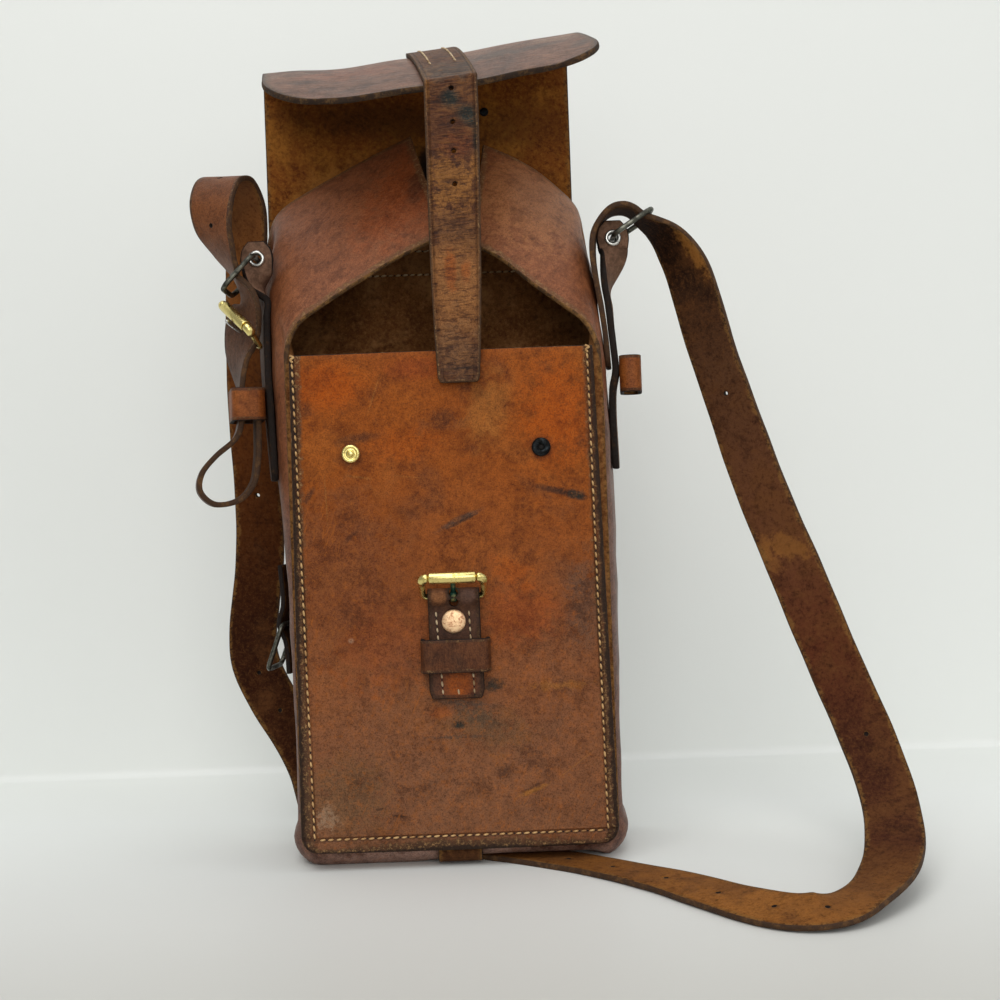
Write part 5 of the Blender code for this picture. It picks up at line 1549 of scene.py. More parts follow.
@dataclass
class Gusset:
    """Sides, bottom and the two free wings: one long strip between front and back."""

    shop: Workshop
    row_steps: int = 3
    column_steps: int = 4
    bottom_bulge: float = 12.0
    channel_lift: float = 3.6
    channel_half: float = 19.0
    channel_shoulder: float = 10.0

    def bottom(self) -> list[tuple[float, ...]]:
        """Sections round the two bottom corners and along the bottom.

        Returns:
            Rows with the columns of the gusset's tables.
        """
        low_left, low_right = GUSSET_LEFT[-1], GUSSET_RIGHT[-1]
        reach = PANEL_HALF_BOTTOM - PANEL_CORNER
        turns = np.array([20.0, 50.0, 80.0])
        out = PANEL_CORNER * np.cos(np.radians(turns))
        z = PANEL_BOTTOM + PANEL_CORNER * (1 - np.sin(np.radians(turns)))
        bulge = 4 + (self.bottom_bulge - 4) * turns / 90
        left = [(-reach - o, h, low_left[2] + PANEL_CORNER - o, h, *SEWN, b)
                for o, h, b in zip(out, z, bulge)]
        right = [(reach + o, h, low_right[2] - PANEL_CORNER + o, h, *SEWN, b)
                 for o, h, b in zip(out, z, bulge)]
        ends = (low_left[2] + PANEL_CORNER + 4, low_right[2] - PANEL_CORNER - 4)
        flat = [((reach - 4) * (2 * s - 1), PANEL_BOTTOM, ends[0] + (ends[1] - ends[0]) * s,
                 PANEL_BOTTOM, *SEWN, self.bottom_bulge) for s in np.linspace(0, 1, 11)]
        return left + flat + right[::-1]

    def grid(self) -> Array:
        """Middle surface: front and back edge curves joined by the seam's profile.

        The free wings take a sine for their section, the sewn stretch the seam's profile,
        and each section's seam values mix the two.

        Returns:
            Sections by points by three.
        """
        rows = np.vstack([smooth_rows(GUSSET_LEFT, 2), self.bottom(), smooth_rows(GUSSET_RIGHT, 2)[::-1]])
        profile = np.array(SEAM_PROFILE)
        profile = np.concatenate([profile, profile[-2::-1]])
        count = len(profile)
        share = np.linspace(0, 1, count)
        front_half = np.arange(count) < (count + 1) // 2
        middle = (rows[:, 0:2] + rows[:, 2:4]) / 2
        along = unit(np.gradient(middle, axis=0))
        outward = np.stack([along[:, 1], -along[:, 0]], axis=1)
        front_y, back_y, bulge = rows[:, 4:5], rows[:, 5:6], rows[:, 8:9]
        seam = np.where(front_half, rows[:, 6:7], rows[:, 7:8])
        free_y = front_y + (back_y - front_y) * share
        sewn_y = np.where(front_half, front_y + profile[:, 1], back_y - profile[:, 1])
        y = free_y + (sewn_y - free_y) * seam
        depth = (y - front_y) / (back_y - front_y)
        free_out = bulge * np.sin(math.pi * share) ** 0.8
        out = free_out + (profile[:, 0] + bulge * profile[:, 2] - free_out) * seam
        flat = (rows[:, None, 0:2] + (rows[:, 2:4] - rows[:, 0:2])[:, None] * depth[..., None]
                + outward[:, None] * out[..., None])
        return xyz(flat[..., 0], y, flat[..., 1])

    def channel(self, x: Array, y: Array) -> Array:
        """Lift of the bottom over the strap: full near its line, fading by a smooth step.

        Args:
            x: across.
            y: depth.

        Returns:
            The lift at each place.
        """
        route = np.array([row[:2] for row in SHOULDER_ROUTE if row[2] < 16.0])
        start, run = route[:-1], np.diff(route, axis=0)
        dx, dy = x[..., None] - start[:, 0], y[..., None] - start[:, 1]
        share = np.clip((dx * run[:, 0] + dy * run[:, 1]) / np.sum(run ** 2, axis=1), 0, 1)
        gap = np.hypot(dx - share * run[:, 0], dy - share * run[:, 1]).min(axis=-1)
        fade = np.clip((gap - self.channel_half) / self.channel_shoulder, 0, 1)
        return self.channel_lift * (1 - smooth_step(fade))

    def build(self) -> BVHTree:
        """The strip, dented a little, and its own skin for what is sewn on it.

        Returns:
            A search tree of the solid gusset, in metres.
        """
        mid = refine(self.grid(), self.row_steps, self.column_steps)
        free = np.clip(np.minimum(mid[..., 2] - 25, 37 - np.abs(mid[..., 1])) / 20, 0, 1)
        mid = mid + surface_normals(mid) * (0.5 * wave(mid, 46.0, 1.3) * free)[..., None]
        low = GUSSET_THICK / 2 + self.channel(mid[..., 0], mid[..., 1])
        pressed = (mid[..., 2] < 30) & (mid[..., 2] < low)
        mid[..., 2] = np.where(pressed, low, mid[..., 2])
        item = leather("gusset_hide", mid, GUSSET_THICK,
                       self.shop.wall("wing_hide", "inside_flesh", "wing_rim"), flip=True)
        seat(item, "brown_leather", "gusset")
        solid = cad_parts["gusset"].data
        return BVHTree.FromPolygons([v.co for v in solid.vertices], [p.vertices for p in solid.polygons])


@dataclass
class Lid:
    """The lid: sewn behind the back, up, over its bend and drooping to the front."""

    shop: Workshop
    foot: float = 305.0
    half: float = 84.5
    flare: float = 3.4
    bend_left: float = 421.5
    bend_slope: float = 0.0985
    sag: float = 2.5
    bend_radius: float = 12.0
    near_y: float = -44.0
    droop: float = 37.0
    droop_power: float = 1.3
    corner: float = 27.0
    curl: float = 4.0
    curl_reach: float = 32.0
    curl_left: float = 3.0
    curl_reach_left: float = 35.0
    centre: float = 2.4
    skew: float = 15.0
    far_y: float = BACK_Y + GAP + LID_THICK / 2
    stitch_rows: tuple[float, float] = (311.0, 324.0)
    stitch_ends: tuple[float, float] = (-72.0, 68.0)

    def bend_height(self, x: Array | float) -> Array:
        """Height of the bend, which rises to the right and sags in its middle.

        Args:
            x: across.

        Returns:
            The height.
        """
        across = np.clip((np.asarray(x) - self.centre_x(self.far_y)) / self.half, -1, 1)
        rise = self.bend_slope * self.half * (across + 1)
        return self.bend_left + rise - self.sag * (1 - across ** 2)

    def centre_x(self, y: Array | float) -> Array:
        """Middle of the lid, skewed to the left towards the back."""
        share = (np.asarray(y) - self.near_y) / (self.far_y - self.near_y)
        return self.centre - self.skew * share

    def half_width(self, y: Array | float) -> Array:
        """Half width, which flares towards the near edge."""
        return self.half + self.flare * (self.far_y - y) / (self.far_y - self.near_y)

    def flap(self, x: Array, share: Array | float) -> Array:
        """Middle surface of the flap: a power curve down from the bend to the near edge.

        Args:
            x: across.
            share: of the way from the bend to the near edge.

        Returns:
            Points of the surface.
        """
        start = self.far_y - self.bend_radius
        y = start + (self.near_y - start) * np.asarray(share)
        right = self.curl * np.clip((np.asarray(x) - 52.0) / self.curl_reach, 0, 1.2) ** 2
        left = self.curl_left * np.clip((-45.0 - np.asarray(x)) / self.curl_reach_left, 0, 1.2) ** 2
        curl = (left + right) * share
        z = self.bend_height(x) - self.droop * np.power(share, self.droop_power) + curl
        return xyz(x, y, z)

    def grid(self) -> Array:
        """Rows up the back, round the bend as a quarter circle, and along the flap.

        Returns:
            Rows by columns by three.
        """
        place = np.linspace(-1, 1, 11)
        share = np.linspace(0, 1, 6)[:, None]
        x = self.centre_x(self.far_y) + self.half * place
        z = self.foot + (self.bend_height(x) - self.bend_radius - self.foot) * share
        rows = [xyz(x, self.far_y, z)]
        angle = np.radians([25.0, 50.0, 75.0])[:, None]
        y = self.far_y - self.bend_radius * (1 - np.cos(angle))
        x = self.centre_x(y) + self.half_width(y) * place
        z = self.bend_height(x) - self.bend_radius * (1 - np.sin(angle))
        rows.append(xyz(x, y, z))
        start = self.far_y - self.bend_radius
        length = start - self.near_y
        tip = self.corner * (1 - np.sin(np.radians([0, 20, 40, 60, 76, 90])))
        for distance in np.concatenate([length * np.array([1.0, 0.82, 0.64, 0.48]), tip]):
            share = 1 - distance / length
            pull = corner_pull(distance, self.corner)
            y = start + (self.near_y - start) * share
            x = self.centre_x(y) + (self.half_width(y) - pull) * place
            rows.append(self.flap(x, share)[None])
        return np.concatenate(rows)

    def build(self) -> None:
        """The lid and the two stitch rows that hold it, seen inside and outside."""
        mid = refine(self.grid(), 5, 5)
        fade = np.clip(side_distance(mid) / 20, 0, 1)
        fade = fade * np.clip(border_distances(mid)["first"] / 60 - 0.4, 0, 1)
        mid = mid + surface_normals(mid) * (0.7 * wave(mid, 64.0, 0.4) * fade)[..., None]
        rows = [abs(mid[..., 2] - z) + np.where(mid[..., 2] < 330, 0, NO_SEAM) for z in self.stitch_rows]
        item = leather("lid_hide", mid, LID_THICK,
                       self.shop.wall("lid_hide", "lid_flesh", "lid_rim"),
                       seam=np.minimum(*rows))
        seat(item, "brown_leather", "lid")
        x = np.linspace(*self.stitch_ends, LINE_POINTS)
        for number, z in enumerate(self.stitch_rows):
            for side, y, out in (("inside", BACK_Y - PANEL_THICK, TO_FRONT),
                                 ("outside", self.far_y + LID_THICK / 2, TO_BACK)):
                self.shop.sew(f"lid_stitches_{side}_{number}", xyz(x, y, z), out, "brown_leather")


@dataclass
class ClosingStrap:
    """The strap sewn on the lid, over the near edge and down in front of the mouth."""

    shop: Workshop
    lid: Lid
    shift: float = 6.6
    half: float = 13.0
    foot_x: float = 7.8
    hang: tuple = (
        (372.0, 13.0, 0.4), (340.0, 12.7, 0.6), (310.0, 12.4, 0.2), (285.0, 11.8, -0.4),
        (262.0, 11.0, -1.3), (250.0, 10.3, -1.9), (246.5, 10.1, -2.0), (244.0, 9.0, -2.0),
    )
    holes: tuple[float, ...] = (390.0, 373.0, 358.5, 342.0)
    hole_x: float = 9.4
    ripple_z: float = 342.0
    ripple_reach: float = 20.0
    steps: int = 8

    def grid(self) -> Array:
        """Rows over the flap, a quarter turn at the near edge, then the hanging stretch.

        Returns:
            Rows by three by three.
        """
        stand = LID_THICK / 2 + GAP + STRAP_THICK / 2
        across = self.half * np.array([-1.0, 0.0, 1.0])
        rows = []
        for share in (0.06, 0.25, 0.5, 0.75, 0.9, 1.0):
            y = float(self.lid.flap(np.zeros(1), share)[0, 1])
            x = self.lid.centre_x(y) + self.shift + across
            here = self.lid.flap(x, share)
            slope = unit(self.lid.flap(x, share + 0.02) - here)
            rows.append(here + unit(xyz(0.0, slope[:, 2], -slope[:, 1])) * stand)
        edge = self.lid.flap(self.lid.centre_x(self.lid.near_y) + self.shift + across, 1.0)
        lead = rows[-1][1] - edge[1]
        slope_angle = math.atan2(lead[2], -lead[1])
        for share in (0.35, 0.7, 1.0):
            angle = slope_angle * (1 - share)
            rows.append(edge + np.array([0.0, -math.cos(angle), math.sin(angle)]) * (stand + 0.8))
        front = rows[-1][1]
        top, foot = self.hang[0][0], self.hang[-1][0]
        for height, half, back in self.hang:
            lean = (height - foot) / (top - foot)
            x = self.foot_x + (front[0] - self.foot_x) * lean
            rows.append(np.array([[x + s * half, front[1] - back, height] for s in (-1, 0, 1)]))
        return np.array(rows)

    def build(self) -> None:
        """The strap, its holes and its stitches on the lid."""
        mid = refine(self.grid(), self.steps, self.steps)
        top = self.hang[0][0]
        ripple = np.exp(-((mid[..., 2] - self.ripple_z) / self.ripple_reach) ** 2)
        ripple = ripple * (mid[..., 1] < self.lid.near_y - 1)
        mid[..., 1] += 0.3 * ripple * np.sin(mid[..., 2] * 1.45 + 0.12 * mid[..., 0])
        mid[..., 1] += 0.4 * wave(mid, 60.0, 2.0) * np.clip((top - mid[..., 2]) / 40, 0, 1)
        item = leather("closing_strap_hide", mid, STRAP_THICK,
                       self.shop.wall("closing_hide", "strap_flesh", "strap_rim"),
                       seam=np.abs(side_distance(mid) - 2.0) * 1.6)
        y = float(mid[mid[..., 2] < top][:, 1].mean())
        self.shop.punch(item, [pin((self.hole_x, y, z), TO_BACK, 1.25, 14) for z in self.holes])
        seat(item, "brown_leather", "closing_strap")
        sewn = slice(0, 3 * self.steps, 2)
        middle, out = mid[sewn], surface_normals(mid)[sewn]
        for name, column in (("strap_stitches_left", 4), ("strap_stitches_right", -5)):
            path = middle[:, column] + out[:, column] * STRAP_THICK / 2
            self.shop.sew(name, path, out[:, column], "brown_leather", hand=Thread(pitch=5.0, length=4.0))


@dataclass
class ShoulderStrap:
    """The long strap: right ring, out to the floor, under the bag, up and the left ring."""

    shop: Workshop
    steps: int = 7
    hole_radius: float = 1.2
    holes: tuple[float, ...] = (
        209.0, 399.0, 553.0, 577.0, 611.0, 649.0, 684.0, 715.0, 748.0, 781.0, 814.0, 847.0,
        880.0, 914.0, 947.0, 973.0, 1076.5, 1193.0, 1269.0, 1301.0, 1330.0,
    )
    through: tuple[float, ...] = (209.0, 1076.5)

    def route(self) -> Array:
        """The route refined: point, direction across, and the distance run."""
        rows = smooth_rows(SHOULDER_ROUTE, self.steps)
        return np.column_stack([rows, distances(rows[:, :3])])

    def grid(self, route: Array) -> Array:
        """A width carried along the route, rounded off at both ends.

        Args:
            route: from the method above.

        Returns:
            Rows by columns by three.
        """
        centre, run = route[:, :3], route[:, 6]
        along = unit(np.gradient(centre, axis=0))
        across = route[:, 3:6]
        across = unit(across - along * np.sum(along * across, axis=1, keepdims=True))
        end = np.minimum(run, run[-1] - run)
        width = STRAP_WIDTH * (1 - 0.35 * np.clip(1 - end / 5.0, 0, 1) ** 2)
        width = width + 0.35 * np.sin(run / 17.0) * np.sin(run / 7.3)
        place = np.linspace(-0.5, 0.5, 9)
        return centre[:, None] + across[:, None] * (width[:, None] * place)[..., None]

    def build(self) -> None:
        """The strap with a row of holes along its middle."""
        route = self.route()
        mid = self.grid(route)
        lift = STRAP_THICK / 2 - 0.05
        mid[..., 2] = np.maximum(mid[..., 2], lift)
        item = leather("shoulder_strap_hide", mid, STRAP_THICK,
                       self.shop.wall("shoulder_hide", "shoulder_flesh", "strap_rim"), flip=True,
                       seam=np.abs(side_distance(mid) - 1.9) * 1.6)
        run = route[:, 6]
        tools = []
        normals = surface_normals(mid)[:, 4]
        for hole in self.holes:
            row = int(np.searchsorted(run, hole))
            if hole in self.through:
                tools.append(pin(route[row, :3], normals[row], self.hole_radius, 7.0, 10))
            else:
                tools += pits(route[row, :3], normals[row], self.hole_radius)
        self.shop.punch(item, tools)
        seat(item, "brown_leather", "shoulder_strap")


@dataclass
class Buckle:
    """A cast frame with a heel bar, a roller sleeve on the outer bar, and a prong.

    Fields: first word of the solids that it stands for, heel, directions along the bar and
    across the frame, direction, length and finish of the prong, bodies of frame, sleeve and
    prong, then the sizes: outer width and length of the frame, its wire's radius, length of
    the sleeve, corner radius, where its cheeks begin and how far they swell, and the
    radius of the prong's eye.
    """

    shop: Workshop
    name: str
    heel: Array
    side: Array
    reach: Array
    prong_way: Array
    prong_length: float
    prong_look: str
    prong_slot: str
    bodies: tuple[str, str, str]
    width: float = 30.4
    length: float = 14.9
    wire: float = 1.5
    sleeve: float = 23.0
    corner: float = 2.6
    cheek: float = 10.2
    swell: float = 0.95
    eye: float = 2.35

    def build(self) -> None:
        """Frame, roller and prong, each a piece of its own."""
        path = denser(rounded_frame(self.heel, self.side, self.reach, self.width,
                                    self.length, self.corner), 0.45)
        local = path - self.heel
        ahead = np.clip((local @ self.reach - self.cheek) / self.corner, 0, 1)
        out = np.clip((np.abs(local @ self.side) - self.sleeve / 2 - 0.25) / 0.7, 0, 1)
        radius = self.wire + self.swell * smooth_step(ahead) * out
        bars = tube(path, np.cross(self.side, self.reach), radius, 18, True)
        self.shop.fit(f"{self.name}_bars", bars, "brass", "brass", f"{self.name}_frame",
                      body=self.bodies[0])
        half = self.sleeve / 2
        profile = [(1.9, -half), (2.6, -half), (2.86, -half + 0.15), (2.95, -half + 0.45),
                   (2.95, half - 0.45), (2.86, half - 0.15), (2.6, half), (1.9, half)]
        sleeve = turned(profile, self.heel + self.reach * self.length, self.side, 40)
        self.shop.fit(f"{self.name}_sleeve", sleeve, "brass", "brass", f"{self.name}_roller",
                      body=self.bodies[1])
        self.prong()

    def prong(self) -> None:
        """Eye round the heel bar and a finger that tapers and bows along a sine."""
        up = np.cross(self.side, self.prong_way)
        share = np.linspace(0, 1, 22)
        reach = 2.5 + (self.prong_length - 2.5) * share
        bow = 0.35 * np.sin(share * math.pi)
        path = self.heel + reach[:, None] * self.prong_way + bow[:, None] * up
        radius = 1.35 - 0.35 * share
        radius = radius * np.sqrt(np.clip(1 - np.clip((share - 0.93) / 0.075, 0, 1) ** 2, 0.05, 1))
        finger, finger_faces = tube(path, up, radius, 14, False)
        ring = np.radians(np.arange(0, 360, 12))[:, None]
        loop = self.heel + self.eye * (np.cos(ring) * self.prong_way + np.sin(ring) * up)
        eye, eye_faces = tube(loop, self.side, 0.55, 10, True)
        eye = eye + self.side * (2.2 * ((eye - loop.repeat(10, axis=0)) @ self.side))[:, None]
        faces = finger_faces + [[c + len(finger) for c in face] for face in eye_faces]
        self.shop.fit(f"{self.name}_tongue", (np.concatenate([finger, eye]), faces),
                      self.prong_look, self.prong_slot, f"{self.name}_prong",
                      body=self.bodies[2])


@dataclass
class FrontFastening:
    """Chape, keeper, rivet and open buckle on the front."""

    shop: Workshop
    x: float = 1.2
    heel_y: float = -48.8
    heel_z: float = 137.0
    rise: float = 42.0
    prong_rise: float = 68.0
    width: float = 25.0
    foot: float = 86.0
    keeper_half: float = 16.5
    keeper_edges: tuple[float, float] = (99.6, 115.6)
    keeper_stand: float = 8.75
    rivet_x: float = 0.9
    rivet_z: float = 124.6
    stitch_top: float = 131.0
    fold_rows: int = 10
    steps: int = 6

    def skin(self, z: float) -> float:
        """Depth of the panel's face behind the fastening."""
        return float(panel_face_y(self.x, z))

    def chape_rows(self) -> Array:
        """Side view of the folded leather: up behind the heel bar, round it and down.

        Returns:
            Rows by columns by three.
        """
        inner = self.skin(self.heel_z) - GAP - CHAPE_THICK / 2
        outer = inner - GAP - CHAPE_THICK
        fold = 1.5 + GAP + CHAPE_THICK / 2
        rows = [(inner, 117.0), (inner, 124.0), (inner - 0.1, 131.0)]
        for degrees in (-10, 20, 55, 90, 125, 160, 190):
            angle = math.radians(degrees)
            rows.append((self.heel_y + fold * math.cos(angle), self.heel_z + fold * math.sin(angle)))
        rows += [(outer - 0.05, 131.5), (outer, 124.0), (outer, 113.0), (inner - 0.9, 107.5),
                 (inner, 103.0), (inner, 94.0), (inner, self.foot + 4), (inner, self.foot)]
        half = [self.width / 2 + (0.8 if z < 110 and k > 8 else 0.0) for k, (_, z) in enumerate(rows)]
        half[-1] -= 1.2
        place = np.array([-1, -0.5, 0, 0.5, 1])
        return np.array([[(self.x + h * s, y, z) for s in place] for (y, z), h in zip(rows, half)])

    def chape(self) -> None:
        """The folded leather with its slot, two stitch rows and a stitch at its foot."""
        mid = refine(self.chape_rows(), self.steps, self.steps)
        item = leather("chape_hide", mid, CHAPE_THICK,
                       self.shop.wall("chape_hide", "strap_flesh", "dark_rim"))
        for hole in (pin((self.x, self.heel_y, 139.0), TO_BACK, 2.3, 18, 20),
                     pin((self.x, self.heel_y, 134.2), TO_BACK, 2.3, 18, 20),
                     pin((self.rivet_x, -47.0, self.rivet_z), TO_BACK, 1.9, 12)):
            self.shop.punch(item, [hole])
        seat(item, "dark_leather", "front_chape")
        outer = mid[self.fold_rows * self.steps:, mid.shape[1] // 2]
        normals = surface_normals(mid)[self.fold_rows * self.steps:, mid.shape[1] // 2]
        way = np.where(normals[:, 1:2] > 0, -normals, normals)
        for name, ends in (("chape_stitches_left", (-5.8, -8.0)), ("chape_stitches_right", (9.9, 8.5))):
            path = outer + way * CHAPE_THICK / 2
            path[:, 0] = np.interp(path[:, 2], (88.0, 132.0), ends)
            keep = (path[:, 2] > self.foot + 1) & (path[:, 2] < self.stitch_top)
            self.shop.sew(name, path[keep], way[keep], "dark_leather",
                          hand=Thread(pitch=3.9, length=2.5, width=1.0, slant=4.0))
        y = self.skin(88.0) - GAP - CHAPE_THICK
        path = np.array([(self.x + 0.8, y, 91.6), (self.x + 0.8, y, 86.5)])
        self.shop.sew("chape_stitch_foot", path, TO_FRONT, "dark_leather", hand=Thread(pitch=5.0))

    def keeper(self) -> None:
        """Band over the chape, its ends sewn down beside it."""
        low, high = self.keeper_edges
        middle, half = (low + high) / 2, self.keeper_half
        base = self.skin(middle) - GAP
        rise = base - self.keeper_stand + KEEPER_THICK / 2 - GAP
        path = [(-half, base), (-half + 0.3, base - 5.5), (-half + 2.2, rise),
                (-half / 2, rise - 0.5), (0.0, rise - 0.6), (half / 2, rise - 0.5),
                (half - 2.2, rise), (half - 0.3, base - 5.5), (half, base)]
        grid = np.array([[(self.x + x, y, z) for z in (low, middle, high)] for x, y in path])
        mid = refine(grid, self.steps, self.steps)
        mid[..., 1] += 0.12 * np.sin(mid[..., 0] * 2.1 + 0.3 * mid[..., 2])
        item = leather("front_keeper_hide", mid, KEEPER_THICK,
                       self.shop.wall("band_hide", "strap_flesh", "dark_rim"))
        seat(item, "dark_leather", "front_keeper")

    def rivet(self) -> None:
        """Copper rivet with a hammered, slightly domed head."""
        face = float(panel_face_y(self.rivet_x, self.rivet_z)) - 2 * (GAP + CHAPE_THICK)
        profile = [(0, -1.95), (1.5, -1.93), (3.6, -1.78), (5.0, -1.45), (5.7, -1.05),
                   (6.0, -0.7), (5.95, -0.5), (1.5, -0.5), (1.5, 4.7), (0, 4.7)]
        points, faces = turned(profile, (self.rivet_x, face, self.rivet_z), TO_BACK, 56)
        head = points[:, 1] < face - 0.6
        beat = 0.09 * np.sin(points[:, 0] * 2.6 + 1) * np.sin(points[:, 2] * 2.9)
        points[:, 1] += np.where(head, beat, 0.0)
        self.shop.fit("rivet_head", (points, faces), "copper", "copper", "chape_rivet")

    def build(self) -> None:
        """All of the fastening."""
        self.chape()
        self.keeper()
        self.rivet()
        rise, lift = math.radians(self.rise), math.radians(self.prong_rise)
        Buckle(self.shop, "front_buckle", np.array([self.x, self.heel_y, self.heel_z]),
               np.array([1.0, 0.0, 0.0]), np.array([0.0, -math.cos(rise), math.sin(rise)]),
               np.array([0.0, -math.cos(lift), math.sin(lift)]), 13.6, "old_brass", "brass",
               ("front_buckle", "front_roller", "front_prong")).build()


@dataclass
class Snaps:
    """Brass post, dark socket and the lid's stud."""

    shop: Workshop
    post: tuple[float, float] = (-47.9, 210.0)
    socket: tuple[float, float] = (47.7, 210.0)
    stud: tuple[float, float] = (25.1, 401.0)

    def build(self) -> None:
        """Turn each fitting from its profile."""
        y = float(panel_face_y(*self.post)) - GAP
        post = [(0, -2.5), (0.9, -2.5), (1.3, -2.3), (1.5, -1.9), (1.9, -1.45), (2.6, -1.2),
                (3.0, -1.35), (3.3, -1.7), (3.8, -1.75), (4.3, -1.5), (4.65, -0.9), (4.7, 0.0),
                (0, 0.0)]
        self.fitting("snap_post_turned", post, self.post, y, "brass", "brass", "snap_post")
        y = float(panel_face_y(*self.socket)) - GAP
        socket = [(1.5, -0.2), (1.6, -0.9), (2.0, -1.35), (3.0, -1.5), (4.0, -1.35),
                  (4.6, -0.8), (4.8, 0.0), (1.5, 0.0)]
        self.fitting("snap_socket_turned", socket, self.socket, y, "black_iron",
                     "dark_steel", "snap_eyelet")
        # Dark disc of painted shade in the socket's hollow
        shade = [(0, 0.0), (1.6, 0.0), (1.6, -0.25), (0, -0.25)]
        self.fitting("snap_socket_shade", shade, self.socket, y, "hole", "dark_steel")
        stud = [(0, -1.2), (1.2, -1.1), (1.9, -0.8), (2.4, -0.3), (2.4, 0.0), (0, 0.0)]
        self.fitting("lid_stud_turned", stud, self.stud, BACK_Y, "black_iron", "dark_steel", "lid_rivet")

    def fitting(self, name: str, profile: Sequence, at: tuple[float, float], y: float,
                look: str, slot: str, *nodes: str) -> None:
        """One turned fitting that faces the front."""
        shape = turned(profile, (at[0], y, at[1]), TO_BACK, 44)
        self.shop.fit(name, shape, look, slot, *nodes)


